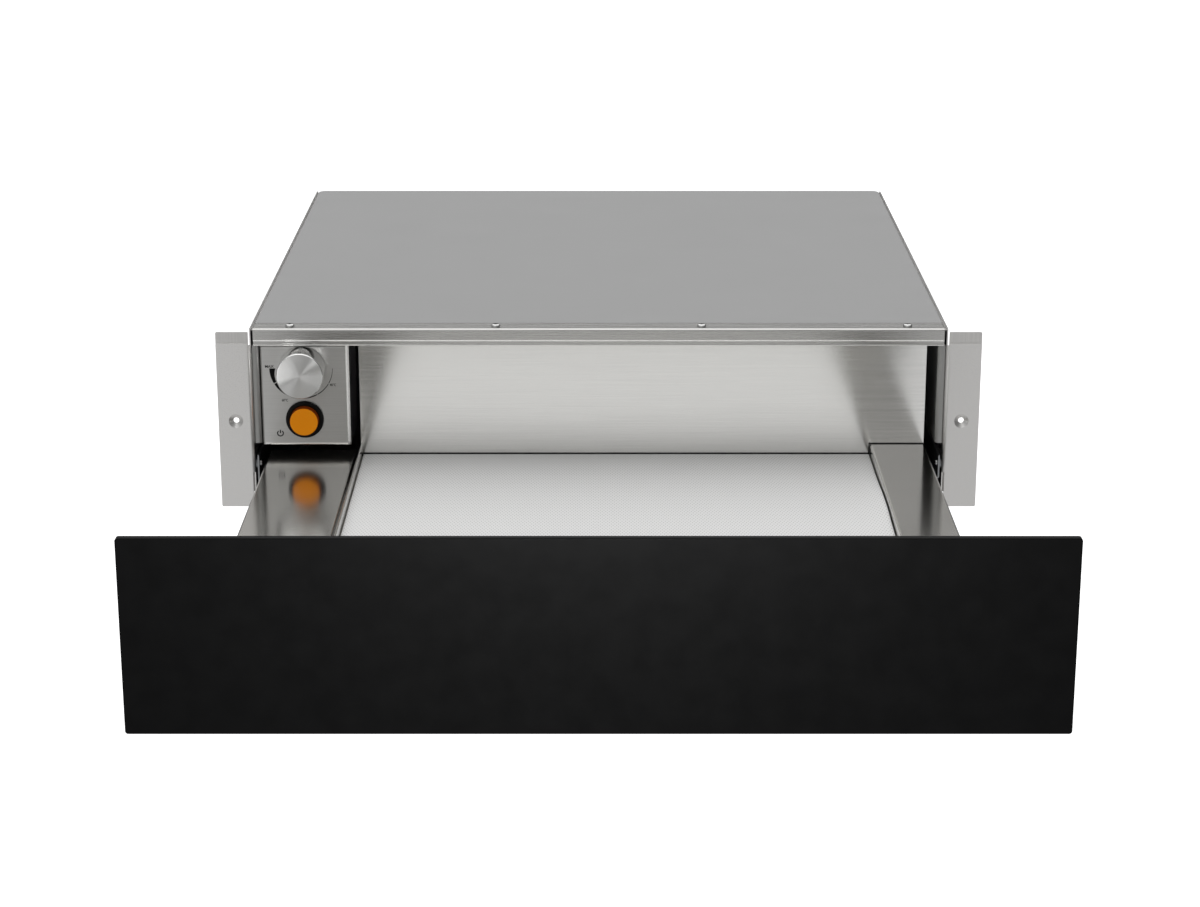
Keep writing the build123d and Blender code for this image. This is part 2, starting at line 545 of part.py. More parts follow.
# ---------------------------------------------------------------- drawer
def drawer_tray():
    """Folded tray: low left ledge, groove, rolled rim, sunk floor, right ledge and skirts."""
    half_sheet = TRAY_SHEET / 2
    skirt_left, skirt_right, skirt_low = TRAY_LEFT + half_sheet, TRAY_RIGHT - half_sheet, 34.0
    ledge_z, floor_z, groove_z = LEDGE_TOP - half_sheet, RECESS_FLOOR - half_sheet, GROOVE_FLOOR + half_sheet
    low_ledge_z, low_ledge_end = ledge_z - LEFT_DROP, LEFT_LEDGE_END - half_sheet
    left, right = RECESS_LEFT - half_sheet, RECESS_RIGHT + half_sheet
    rim = left - RIM_FOLD
    profile = [
        (skirt_left, skirt_low), (skirt_left, low_ledge_z), (low_ledge_end, low_ledge_z),
        (low_ledge_end, groove_z), (rim, groove_z), (rim, ledge_z), (left, ledge_z), (left, floor_z),
        (right, floor_z), (right, ledge_z), (skirt_right, ledge_z), (skirt_right, skirt_low),
    ]
    start = TRAY_FRONT_Y + TRAY_SHEET
    bends = [1.2, 0.8, 0.8, 0.8, 0.45, 0.45, 1.2, 1.2, 1.2, 1.2]
    tray = fold_along_y(profile, start, TRAY_REAR_Y, TRAY_SHEET, bends)
    # The recess is closed at the front by a wall under a narrow front ledge.
    wall_y = TRAY_FRONT_Y + 8.0
    tray += block(left, right, wall_y - TRAY_SHEET, wall_y, floor_z, LEDGE_TOP - 0.2)
    tray += block(rim, right + 1, start, wall_y, LEDGE_TOP - TRAY_SHEET, LEDGE_TOP)
    flange_y, flange_top, flange_foot = TRAY_FRONT_Y + TRAY_SHEET / 2, 72.0, TRAY_FRONT_Y + 6.0
    flange = [(flange_y, flange_top), (flange_y, ledge_z), (flange_foot, ledge_z)]
    tray += fold_along_x(flange, FLANGE_START, skirt_right - 1.0, TRAY_SHEET, 1.0)
    # The ledges are turned down behind, in front of the back panel.
    for x0, x1, drop in ((skirt_left, low_ledge_end, LEFT_DROP), (right, skirt_right, 0.0)):
        tray += block(x0, x1, TRAY_REAR_Y - TRAY_SHEET, TRAY_REAR_Y, LEDGE_EDGE_LOW - drop, ledge_z - drop)
    for x in CARRIER_SCREW_X:
        tray -= disc_along("y", (x, CARRIER_SCREW_Z), 2.1, TRAY_FRONT_Y - CUT, TRAY_FRONT_Y + 2)
    return tray


def drawer_back_panel():
    """Back wall of the drawer: foot flange, tall face, top flange and side returns."""
    face_y = PANEL_Y + SHEET / 2
    foot_y, foot_z = 3.0, UNDER_FLOOR - SHEET / 2
    top_y, top_z = face_y + 14.0, PANEL_TOP - SHEET / 2
    section = [(foot_y, foot_z), (face_y, foot_z), (face_y, top_z), (top_y, top_z)]
    panel = fold_along_x(section, PANEL_LEFT, PANEL_RIGHT, radius=[0.8, 1.5])
    # Beside the recess the foot is cut away, clear of the runner and of the tray's groove.
    panel -= block(RECESS_RIGHT - 1, PANEL_RIGHT + CUT, 0, 20, 30, LEDGE_EDGE_LOW)
    panel -= block(PANEL_LEFT - CUT, RECESS_LEFT - 0.6, 0, TRAY_REAR_Y + 0.4, 30, LEDGE_EDGE_LOW)
    for x in (PANEL_LEFT, PANEL_RIGHT - SHEET):
        panel += block(x, x + SHEET, face_y, PANEL_Y + 13.0, 42.0, PANEL_TOP - 3.0)
    return panel


def non_slip_mat():
    mat = block(RECESS_LEFT + MAT_SIDE_GAP, RECESS_RIGHT - MAT_SIDE_GAP, TRAY_FRONT_Y + 9.0,
                PANEL_Y - MAT_REAR_GAP, RECESS_FLOOR, RECESS_FLOOR + MAT)
    return fillet(mat.edges().filter_by(Axis.Z), 3.0)


def front_glass():
    """Glass pane with rounded corners and ground edges."""
    pane = block(-FRONT_HALF, FRONT_HALF, FRONT_OPEN_Y, FRONT_OPEN_Y + GLASS, FRONT_BOTTOM, FRONT_TOP)
    pane = fillet(pane.edges().filter_by(Axis.Y), 2.0)
    return chamfer(pane.faces().sort_by(Axis.Y)[0].edges(), 0.5)


def bonding_tape():
    """Foam tape frame between the glass and the carrier, left off behind the knob."""
    y0, y1 = FRONT_OPEN_Y + GLASS, CARRIER_Y
    inset, width = 4.0, 12.0
    half, low, high = CARRIER_HALF - inset, CARRIER_LOW + inset, CARRIER_HIGH - inset
    frame = block(-half, half, y0, y1, low, high)
    frame -= block(-half + width, half - width, y0 - CUT, y1 + CUT, low + width, high - width)
    return frame - block(RELIEF_LEFT, RELIEF_RIGHT, y0 - CUT, y1 + CUT, high - width - CUT, high + CUT)


def front_carrier():
    """Pan behind the glass, cut out behind the knob."""
    outer = block(-CARRIER_HALF, CARRIER_HALF, CARRIER_Y, TRAY_FRONT_Y, CARRIER_LOW, CARRIER_HIGH)
    outer = fillet(outer.edges().filter_by(Axis.Y), 4.0)
    pan = open_shell(outer, SHEET, outer.faces().sort_by(Axis.Y)[-1])
    relief_low = KNOB_Z - KNOB_R - 3.4
    return pan - block(RELIEF_LEFT, RELIEF_RIGHT, CARRIER_Y - CUT, TRAY_FRONT_Y + CUT, relief_low, 130)


def carrier_inner_panel():
    """Rear plate of the front, with a stiffening bead and the opening for the controls."""
    rear = TRAY_FRONT_Y
    half = CARRIER_HALF - SHEET
    low, high = CARRIER_LOW + SHEET, CARRIER_HIGH - SHEET
    plate = block(-half, half, rear - SHEET, rear, low, high)
    plate = fillet(plate.edges().filter_by(Axis.Y), 3.0)
    plate -= block(RELIEF_LEFT, RELIEF_RIGHT, rear - 5, rear + CUT, 51.0, 130)
    plate += slot_through_y(30, rear - SHEET, 96, length=400, width=12, depth=1.5)
    for x in CARRIER_SCREW_X:
        plate -= disc_along("y", (x, CARRIER_SCREW_Z), SHEET_HOLE_R, rear - 2, rear + CUT)
    return plate


def carrier_screws():
    seats = [(x, TRAY_FRONT_Y + TRAY_SHEET, CARRIER_SCREW_Z) for x in CARRIER_SCREW_X]
    return Compound([pan_screw(seat, (0, 1, 0), shank=5.0, head_r=3.4) for seat in seats])


def front_buffers():
    """Four rubber buffers that meet the cabinet flanges when the drawer closes."""
    buffers = []
    for x in (-279.0, 279.0):
        for z in (24.0, 108.0):
            dome = disc_along("y", (x, z), 4.0, TRAY_FRONT_Y, TRAY_FRONT_Y + 1.5)
            buffers.append(fillet(dome.edges().group_by(Axis.Y)[-1], 1.0))
    return Compound(buffers)


def heater_mat():
    """Flat heating mat stuck under the recess."""
    mat = block(PAN_LEFT + 4, PAN_RIGHT - 4, PAN_FRONT_Y + 4, PAN_REAR_Y - 4, UNDER_FLOOR - HEATER,
                UNDER_FLOOR)
    return fillet(mat.edges().filter_by(Axis.Z), 8.0)


def insulation_board():
    """Mineral board under the heater, with a pocket for the thermal cut-out."""
    top = UNDER_FLOOR - HEATER
    board = block(PAN_LEFT + 2, PAN_RIGHT - 2, PAN_FRONT_Y + 2, PAN_REAR_Y - 2, top - BOARD, top)
    board = fillet(board.edges().filter_by(Axis.Z), 6.0)
    return board - disc_along("z", (CUTOUT_X, CUTOUT_Y), 10.0, top - BOARD - CUT, top + CUT)


def thermal_cut_out():
    """Disc thermostat pressed to the heater, with two tabs."""
    top = UNDER_FLOOR - HEATER
    case_height, tab_length = 7.0, 3.0
    disc = disc_along("z", (CUTOUT_X, CUTOUT_Y), 8.0, top - case_height, top)
    for x in (CUTOUT_X - 4.5, CUTOUT_X + 4.5):
        tab_top = top - case_height
        disc += block(x - 0.4, x + 0.4, CUTOUT_Y - 3, CUTOUT_Y + 3, tab_top - tab_length, tab_top)
    return disc


def under_tray_cover():
    """Shallow pan that closes the heater from below, with two long beads."""
    outer = block(PAN_LEFT, PAN_RIGHT, PAN_FRONT_Y, PAN_REAR_Y, PAN_LOW, UNDER_FLOOR)
    outer = fillet(outer.edges().filter_by(Axis.Z), 6.0)
    pan = open_shell(outer, TRAY_SHEET, outer.faces().sort_by(Axis.Z)[-1])
    middle_y = (PAN_FRONT_Y + PAN_REAR_Y) / 2
    for x in (-90.0, 115.0):
        bead = Pos(x, middle_y, PAN_LOW) * SlotOverall(330, 14, rotation=90)
        pan -= extrude(bead, 0.4)
        pan += extrude(Pos(0, 0, TRAY_SHEET) * bead, 0.6)
    return pan


# ---------------------------------------------------------------- latch and mains entry
def latch_housing():
    """Push-to-open latch case on a foot against the rear panel."""
    rear = BODY_REAR - 1.8
    low, high = LATCH_Z - 11, LATCH_Z + 11
    case = block(-13, 13, LATCH_FRONT_Y, rear, low, high)
    case = fillet(case.edges().filter_by(Axis.Y), 3.0)
    case += block(-28, 28, rear - 2.5, rear, low, high)
    return case - disc_along("y", (0, LATCH_Z), PLUNGER_R + 0.1, LATCH_FRONT_Y - CUT, rear - 6)


def latch_plunger():
    rod = disc_along("y", (0, LATCH_Z), PLUNGER_R, PLUNGER_TIP_Y, PLUNGER_TIP_Y + PLUNGER_LENGTH)
    return fillet(rod.edges().group_by(Axis.Y)[0], 1.5)


def striker_plate():
    """Small plate on the back panel where the plunger pushes."""
    plate = block(-14, 14, STRIKER_Y, STRIKER_Y + STRIKER, LATCH_Z - 10, LATCH_Z + 10)
    return fillet(plate.edges().filter_by(Axis.Y), 3.0)


def terminal_block():
    """Three-way mains terminal block on a foot on the base."""
    pitch, length, front_y = 16.0, 24.0, 470.0
    left = GLAND_X - 1.5 * pitch
    body = block(left, left + 3 * pitch, front_y, front_y + length, SHEET, 8.0)
    for way in range(3):
        x = left + pitch * (way + 0.5)
        pillar = block(x - 6, x + 6, front_y + 1, front_y + length - 1, 7.5, 22.0)
        pillar = fillet(pillar.edges().filter_by(Axis.Y), 2.0)
        body += pillar - disc_along("z", (x, front_y + 7), 2.5, 16, 24)
        body -= disc_along("y", (x, 13.0), 2.2, front_y - CUT, front_y + length + CUT)
    return body


def cord_gland():
    """Flanged bush in the rear panel for the mains cord."""
    wall = BODY_REAR - 0.8
    flange_r, neck_r = GLAND_R + 3.0, GLAND_R - 0.1
    profile = [
        (GLAND_BORE, wall + 3.0), (flange_r - 0.8, wall + 3.0), (flange_r, wall + 2.0),
        (flange_r, wall), (neck_r, wall), (neck_r, wall - 10.0),
        (GLAND_R - 1.4, wall - 13.0), (GLAND_BORE, wall - 13.0),
    ]
    return turned_along_y(GLAND_X, GLAND_Z, profile)


# ---------------------------------------------------------------- assembly
def build_cabinet():
    both_sides("side_panel", side_panel())
    both_sides("flange_backing", flange_backing())
    both_sides("side_liner", side_liner())
    NODES["base_panel"] = base_panel()
    NODES["rear_panel"] = rear_panel()
    NODES["top_cover"] = top_cover()
    NODES["front_rail"] = front_rail()
    NODES["cross_brace"] = cross_brace()
    NODES["front_rail_screws"] = front_rail_screws()
    NODES["housing_screws"] = housing_screws()
    NODES["terminal_block"] = terminal_block()
    NODES["cord_gland"] = cord_gland()
    NODES["latch_housing"] = latch_housing()
    NODES["latch_plunger"] = latch_plunger()


def build_runners():
    both_runners("cabinet_rail", cabinet_rail)
    both_runners("middle_rail", middle_rail)
    both_runners("drawer_rail", drawer_rail)
    both_runners("lower_roller_cage", lower_roller_cage)
    both_runners("upper_roller_cage", upper_roller_cage)
    NODES["runner_screws"] = runner_screws()


def build_controls():
    NODES["control_box"] = control_box()
    NODES["thermostat_body"] = thermostat_body()
    NODES["control_knob"] = control_knob()
    NODES["knob_shaft"] = knob_shaft()
    NODES["switch_bezel"] = switch_bezel()
    NODES["switch_body"] = switch_body()
    NODES["button_cap"] = button_cap()


def build_drawer():
    NODES["drawer_tray"] = drawer_tray()
    NODES["drawer_back_panel"] = drawer_back_panel()
    NODES["non_slip_mat"] = non_slip_mat()
    NODES["front_glass"] = front_glass()
    NODES["bonding_tape"] = bonding_tape()
    NODES["front_carrier"] = front_carrier()
    NODES["carrier_inner_panel"] = carrier_inner_panel()
    NODES["carrier_screws"] = carrier_screws()
    NODES["front_buffers"] = front_buffers()
    NODES["heater_mat"] = heater_mat()
    NODES["insulation_board"] = insulation_board()
    NODES["thermal_cut_out"] = thermal_cut_out()
    NODES["under_tray_cover"] = under_tray_cover()
    NODES["striker_plate"] = striker_plate()


build_cabinet()
build_runners()
build_controls()
build_drawer()

os.makedirs("parts", exist_ok=True)
for node, piece in NODES.items():
    export_step(piece, "parts/" + node + ".step")
print(len(NODES), "nodes written")
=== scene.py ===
# %% [markdown]
# # A built-in warming drawer, pulled open
# The cabinet, its runners and the glass fronted drawer are already modelled as solids. This lesson dresses
# them. It loads the solids as a fixed frame, gives every sheet and moulding a finish of its own, and adds
# the soft mat and the printing, which are too fine or too soft for the solid model.

# %% Load the solids as a fixed frame
import math

import bmesh
import bpy
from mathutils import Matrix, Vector


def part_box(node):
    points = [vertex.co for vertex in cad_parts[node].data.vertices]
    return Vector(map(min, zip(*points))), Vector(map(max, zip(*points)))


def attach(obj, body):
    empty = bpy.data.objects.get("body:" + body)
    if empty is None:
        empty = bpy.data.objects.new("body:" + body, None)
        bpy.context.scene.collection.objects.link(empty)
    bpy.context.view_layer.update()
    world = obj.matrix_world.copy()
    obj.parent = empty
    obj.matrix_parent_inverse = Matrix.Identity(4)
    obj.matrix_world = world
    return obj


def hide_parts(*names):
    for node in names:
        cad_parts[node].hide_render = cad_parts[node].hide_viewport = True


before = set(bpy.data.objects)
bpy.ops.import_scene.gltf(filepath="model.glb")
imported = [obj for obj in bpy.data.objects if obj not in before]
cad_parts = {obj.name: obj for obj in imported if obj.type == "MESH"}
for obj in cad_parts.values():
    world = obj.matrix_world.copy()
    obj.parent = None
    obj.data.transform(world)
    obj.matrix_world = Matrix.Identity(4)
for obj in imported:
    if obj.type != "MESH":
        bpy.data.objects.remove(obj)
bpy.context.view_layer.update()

MM = 0.001

# %% [markdown]
# ## The camera
# A product picture of an appliance is taken from well back with a long lens, so that the upright edges stay
# nearly upright. The slopes of the cabinet's edges in the photograph give the lens and how far the camera
# looks down. The camera stands on the middle of the drawer and isn't turned or rolled.

# %% The camera
CAMERA_PLACE = (0.0, -2.0029, 0.6668)
CAMERA_LOOKS_DOWN = 17.28
LENS = 80.09
SENSOR = 36.0
SHIFT_TO_FRAME = 0.0011

camera_data = bpy.data.cameras.new("camera")
camera_data.lens = LENS
camera_data.sensor_width = SENSOR
camera_data.shift_x = SHIFT_TO_FRAME
camera = bpy.data.objects.new("camera", camera_data)
camera.location = CAMERA_PLACE
camera.rotation_euler = (math.radians(90 - CAMERA_LOOKS_DOWN), 0, 0)
bpy.context.scene.collection.objects.link(camera)
bpy.context.scene.camera = camera
print("the camera looks down", CAMERA_LOOKS_DOWN, "degrees through a lens of", LENS, "mm")

# %% [markdown]
# ## Nodes, one line at a time
# Every finish below is a small graph of nodes, and so is the light round the object. A few helpers keep
# these graphs readable: one starts a material, one adds a node with its settings, one joins two sockets,
# and one does a step of arithmetic. A value that is the same all over a surface goes straight on the
# shader's own socket, and only what varies gets nodes.

# %% Start a finish, put a node, join two sockets
def start_finish(name):
    """A new material made of nodes, and its shader."""
    finish = bpy.data.materials.new(name)
    finish.use_nodes = True
    return finish, finish.node_tree.nodes["Principled BSDF"]


def put(owner, kind, sockets=None, **settings):
    """Adds one node to a finish or to the world, with its settings and the values of its sockets."""
    node = owner.node_tree.nodes.new("ShaderNode" + kind)
    for name, value in settings.items():
        setattr(node, name, value)
    for name, value in (sockets or {}).items():
        node.inputs[name].default_value = value
    return node


def join(owner, source, target):
    """Joins an output socket to an input socket."""
    owner.node_tree.links.new(source, target)


def work_out(owner, operation, *terms):
    """One step of arithmetic. Each term is a number or the output of another node."""
    node = put(owner, "Math", operation=operation)
    for socket, term in zip(node.inputs, terms):
        if isinstance(term, bpy.types.NodeSocket):
            join(owner, term, socket)
        else:
            socket.default_value = term
    return node.outputs[0]


def shade_with(shader, **values):
    """Sets sockets of the shader. An underscore in a name stands for a space."""
    for name, value in values.items():
        shader.inputs[name.replace("_", " ")].default_value = value


print("ready to build finishes from nodes")

# %% [markdown]
# ## Noise that drives shade and shine
# No real surface has one flat colour. Each finish takes a soft noise, laid out in the object's own metres
# so that its grain has a real size, and lets it vary the shade and the roughness a little. Noise seldom
# leaves the middle of its range, so the helpers take 0.3 and 0.7 as its ends unless they are told
# otherwise.

# %% Noise that drives shade and shine
NOISE_ENDS = (0.3, 0.7)


def drawn_out_noise(owner, per_metre, detail=3.0):
    """Noise on the object's own metres, with its own number of grains per metre along X, Y and Z."""
    where = put(owner, "TexCoord")
    stretch = put(owner, "Mapping", {"Scale": per_metre})
    noise = put(owner, "TexNoise", {"Scale": 1.0, "Detail": detail})
    join(owner, where.outputs["Object"], stretch.inputs["Vector"])
    join(owner, stretch.outputs["Vector"], noise.inputs["Vector"])
    return noise.outputs["Fac"]


def even_noise(owner, per_metre, detail=3.0):
    """Noise with as many grains per metre along each axis."""
    return drawn_out_noise(owner, (per_metre, per_metre, per_metre), detail)


def spread(owner, source, low, high, ends=NOISE_ENDS):
    """Maps a source, between its ends, to the range that it should drive."""
    span = {"From Min": ends[0], "From Max": ends[1], "To Min": low, "To Max": high}
    mapped = put(owner, "MapRange", span)
    join(owner, source, mapped.inputs["Value"])
    return mapped.outputs["Result"]


def tint(owner, source, first, second, ends=NOISE_ENDS):
    """Colours a source with one shade at its low end and another at its high end."""
    ramp = put(owner, "ValToRGB")
    for stop, place, shade in zip(ramp.color_ramp.elements, ends, (first, second)):
        stop.position = place
        stop.color = (*shade, 1)
    join(owner, source, ramp.inputs["Fac"])
    return ramp.outputs["Color"]


def speckled(name, per_metre, dark, light, roughness, detail=3.0):
    """A finish whose shade and roughness follow one even noise, with its shader and that noise."""
    finish, shader = start_finish(name)
    noise = even_noise(finish, per_metre, detail)
    join(finish, tint(finish, noise, dark, light), shader.inputs["Base Color"])
    join(finish, spread(finish, noise, *roughness), shader.inputs["Roughness"])
    return finish, shader, noise


print("noise counts from", NOISE_ENDS[0], "to", NOISE_ENDS[1])

# %% [markdown]
# ## Brushed steel
# Most of the cabinet is stainless sheet that a belt has brushed along one direction. The fine scratches
# blur a reflection across themselves and hardly at all along themselves. Geometry that fine can't be
# modelled, so the shader's anisotropy does it, turned by a tangent that lies across the grain. Drawn-out
# noise varies the roughness and the colour a little, so that the brushing shows close up, and a bevel node
# rounds each sheet edge by a few tenths of a millimetre, which is what makes cut edges shine as thin lines.

# %% Brushed steel
GRAIN_RUN = 14.0
GRAIN_ACROSS = 2600.0
GRAIN_HEIGHT = 0.004 * MM
SHADE_SWING = 0.06
ROUGHNESS_SWING = 0.15
EDGE_SAMPLES = 4


def scaled(colour, factor):
    """A colour made darker or lighter."""
    return tuple(factor * part for part in colour)


def rounded_edges(finish, radius):
    """The surface's normal, with each sharp edge rounded by this radius."""
    return put(finish, "Bevel", {"Radius": radius}, samples=EDGE_SAMPLES).outputs["Normal"]


def brushed(name, colour, roughness, along, across, anisotropy=0.6, edge=0.35 * MM):
    """Steel sheet brushed along one axis. The tangent points across the grain."""
    finish, shader = start_finish(name)
    grain = drawn_out_noise(finish, [GRAIN_RUN if axis == along else GRAIN_ACROSS for axis in "XYZ"])
    shades = (scaled(colour, 1 - SHADE_SWING), scaled(colour, 1 + SHADE_SWING))
    rough = ((1 - ROUGHNESS_SWING) * roughness, (1 + ROUGHNESS_SWING) * roughness)
    join(finish, tint(finish, grain, *shades), shader.inputs["Base Color"])
    join(finish, spread(finish, grain, *rough), shader.inputs["Roughness"])
    shade_with(shader, Metallic=1.0, Anisotropic=anisotropy)
    tangent = put(finish, "CombineXYZ", dict(zip("XYZ", across)))
    join(finish, tangent.outputs["Vector"], shader.inputs["Tangent"])
    scratches = put(finish, "Bump", {"Strength": 1.0, "Distance": GRAIN_HEIGHT})
    join(finish, grain, scratches.inputs["Height"])
    join(finish, rounded_edges(finish, edge), scratches.inputs["Normal"])
    join(finish, scratches.outputs["Normal"], shader.inputs["Normal"])
    return finish


print("brushing has", round(GRAIN_ACROSS * MM, 1), "scratches to the millimetre")

# %% [markdown]
# ## One steel, eight sheets
# All of these are the same steel. They differ in the way of their grain and in how finely they were
# brushed. Their shades were matched to the photograph one by one, because a sheet's shade there also holds
# what it mirrors, so these lighter and darker copies of one steel are partly painted light and reflection.
# One function makes them all, and these few numbers tell them apart.

# %% The cabinet's eight brushed sheets
X_WAY = (1, 0, 0)
Y_WAY = (0, 1, 0)
Z_WAY = (0, 0, 1)
BROAD_EDGE = 0.8 * MM
LINER_EDGE = 1.2 * MM
# The shades below are one steel made lighter or darker per sheet: partly painted light and reflection.
SATIN = (0.80, 0.79, 0.775)
BOX_SATIN = (0.60, 0.595, 0.58)
RAIL_SATIN = (0.57, 0.565, 0.55)
TRAY = (0.66, 0.65, 0.625)
BACK = (0.93, 0.925, 0.905)
COVER = (0.36, 0.36, 0.36)
INNER = (0.42, 0.42, 0.41)

satin_upright = brushed("satin_steel_upright", SATIN, roughness=0.34, along="Z", across=X_WAY)
satin_deep = brushed("satin_steel_deep", SATIN, roughness=0.30, along="Y", across=Z_WAY)
box_steel = brushed("control_box_steel", BOX_SATIN, roughness=0.34, along="X", across=Z_WAY, edge=BROAD_EDGE)
rail_steel = brushed("front_rail_steel", RAIL_SATIN, roughness=0.26, along="X", across=Z_WAY,
                     edge=BROAD_EDGE)
tray_steel = brushed("tray_steel", TRAY, roughness=0.14, along="X", across=Y_WAY, anisotropy=0.5)
back_steel = brushed("back_panel_steel", BACK, roughness=0.16, along="X", across=Z_WAY, anisotropy=0.7)
cover_steel = brushed("cover_steel", COVER, roughness=0.50, along="X", across=Y_WAY, anisotropy=0.2)
inner_steel = brushed("inner_steel", INNER, roughness=0.45, along="Y", across=Z_WAY, anisotropy=0.3,
                      edge=LINER_EDGE)
print("there are now", len(bpy.data.materials), "materials in the scene")

# %% [markdown]
# ## Zinc and screws
# The runners are rolled from zinc plated strip, which shows soft patches of lighter and darker crystals.
# Screw heads are bright and nearly smooth, with a trace of the marks of the tool. Both are bare metal with
# an even noise, coarse on the zinc and fine on the screws.

# %% Zinc and screws
ZINC_SHADES = ((0.30, 0.31, 0.32), (0.38, 0.39, 0.40))
ZINC_PATCHES_PER_METRE = 260
SCREW_SHADES = ((0.60, 0.60, 0.59), (0.70, 0.70, 0.69))
SCREW_MARKS_PER_METRE = 900

zinc, zinc_shader, _ = speckled("zinc_plate", ZINC_PATCHES_PER_METRE, *ZINC_SHADES,
                                roughness=(0.30, 0.42), detail=2.0)
bright_screw, screw_shader, _ = speckled("screw_steel", SCREW_MARKS_PER_METRE, *SCREW_SHADES,
                                         roughness=(0.16, 0.24))
for metal_shader in (zinc_shader, screw_shader):
    shade_with(metal_shader, Metallic=1.0)
print("zinc patches are about", round(1 / ZINC_PATCHES_PER_METRE / MM, 1), "mm across")

# %% [markdown]
# ## Spun aluminium
# The knob is turned on a lathe, so its scratches are circles round its axis. A tangent that runs round the
# axis, turned by a quarter, makes the bright rays that sweep over it. The rings themselves are noise read
# from the distance to the axis. The real face is very slightly domed, which the flat solid isn't: a bump
# that falls off with the square of that distance bends the light as the dome would. The side is smoother
# than the face.

# %% Spun aluminium
RINGS_PER_METRE = 3000.0
RING_SHADES = ((0.70, 0.70, 0.69), (0.76, 0.76, 0.75))
DOME = 3.6
SIDE_ROUGHNESS = 0.10
FACE_ROUGHNESS = 0.29
SIDE_TO_FACE = (0.5, 0.9)
knob_low, knob_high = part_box("control_knob")
KNOB_AXIS = ((knob_low[0] + knob_high[0]) / 2, 0.0, (knob_low[2] + knob_high[2]) / 2)
KNOB_RADIUS = (knob_high[0] - knob_low[0]) / 2


def from_knob_axis(finish):
    """How far each point of the surface is from the knob's axis."""
    where = put(finish, "TexCoord")
    from_axis = put(finish, "VectorMath", operation="SUBTRACT")
    from_axis.inputs[1].default_value = KNOB_AXIS
    flat = put(finish, "VectorMath", operation="MULTIPLY")
    flat.inputs[1].default_value = (1, 0, 1)
    length = put(finish, "VectorMath", operation="LENGTH")
    join(finish, where.outputs["Object"], from_axis.inputs[0])
    join(finish, from_axis.outputs["Vector"], flat.inputs[0])
    join(finish, flat.outputs["Vector"], length.inputs[0])
    return length.outputs["Value"]


def knob_roughness(finish):
    """Smoother where the surface looks sideways than where it looks forward."""
    surface = put(finish, "NewGeometry")
    parts = put(finish, "SeparateXYZ")
    join(finish, surface.outputs["Normal"], parts.inputs["Vector"])
    frontal = work_out(finish, "ABSOLUTE", parts.outputs["Y"])
    return spread(finish, frontal, SIDE_ROUGHNESS, FACE_ROUGHNESS, ends=SIDE_TO_FACE)


def spun_aluminium():
    """Aluminium turned on a lathe: rings round the knob's axis on a slightly domed face."""
    finish, shader = start_finish("spun_aluminium")
    radius = from_knob_axis(finish)
    rings = put(finish, "TexNoise", {"Scale": RINGS_PER_METRE, "Detail": 2.0}, noise_dimensions="1D")
    join(finish, radius, rings.inputs["W"])
    join(finish, tint(finish, rings.outputs["Fac"], *RING_SHADES), shader.inputs["Base Color"])
    join(finish, knob_roughness(finish), shader.inputs["Roughness"])
    dome = put(finish, "Bump", {"Strength": 1.0, "Distance": DOME}, invert=True)
    join(finish, work_out(finish, "MULTIPLY", radius, radius), dome.inputs["Height"])
    join(finish, dome.outputs["Normal"], shader.inputs["Normal"])
    shade_with(shader, Metallic=1.0, Anisotropic=0.95, Anisotropic_Rotation=0.25)
    round_axis = put(finish, "Tangent", direction_type="RADIAL", axis="Y")
    join(finish, round_axis.outputs["Tangent"], shader.inputs["Tangent"])
    return finish


spun = spun_aluminium()
print("the knob's axis is at, in mm:", [round(part / MM, 1) for part in KNOB_AXIS])
print("its face seems to fall by", round(DOME * KNOB_RADIUS ** 2 / MM, 1), "mm from its middle to its rim")

# %% [markdown]
# ## The black glass
# The front is satin glass, painted black behind. Nearly all of its light is a soft, weak reflection, so its
# colour is close to black, its gloss is turned well down, and a haze varies its roughness a little.

# %% The black glass
GLASS_SHADES = ((0.0014, 0.0014, 0.0015), (0.0018, 0.0018, 0.0019))
GLASS_HAZE_PER_METRE = 60

glass, glass_shader, _ = speckled("black_glass", GLASS_HAZE_PER_METRE, *GLASS_SHADES, roughness=(0.30, 0.34))
shade_with(glass_shader, Specular_IOR_Level=0.06)
join(glass, rounded_edges(glass, BROAD_EDGE), glass_shader.inputs["Normal"])

# %% [markdown]
# ## The amber button
# The button is a clear amber cap over a lamp: bright where it faces the eye, and deep brown along its
# sides, where the eye looks through more of it. Real see-through plastic would be slow and noisy to render
# at this size, so one ramp over how squarely the surface faces gives both the colour and the weak glow.

# %% The amber button
AMBER_FACING = (0.64, 0.21, 0.004)
AMBER_ASIDE = (0.13, 0.022, 0.002)
AMBER_TURN = (0.22, 0.55)
AMBER_GLOW = 0.38
AMBER_ROUGHNESS = (0.30, 0.38)
CLOUD_PER_METRE = 120


def amber_cap():
    """Amber plastic over a lamp."""
    finish, shader = start_finish("amber_cap")
    facing = put(finish, "LayerWeight", {"Blend": 0.5})
    depth = tint(finish, facing.outputs["Facing"], AMBER_FACING, AMBER_ASIDE, ends=AMBER_TURN)
    join(finish, depth, shader.inputs["Base Color"])
    join(finish, depth, shader.inputs["Emission Color"])
    cloud = even_noise(finish, CLOUD_PER_METRE)
    join(finish, spread(finish, cloud, *AMBER_ROUGHNESS), shader.inputs["Roughness"])
    shade_with(shader, Subsurface_Weight=0.3, Subsurface_Scale=0.003, Subsurface_Radius=(1.0, 0.4, 0.05))
    shade_with(shader, Specular_IOR_Level=0.1, Emission_Strength=AMBER_GLOW)
    return finish


amber = amber_cap()
print("the button's cap glows with a strength of", AMBER_GLOW)

# %% [markdown]
# ## Mouldings, rubber and board
# Bezels, cages and rubber parts have the fine even grain that comes from the mould, and the insulation
# board a coarser one. They differ only in shade, roughness and grain, so one function makes them all.

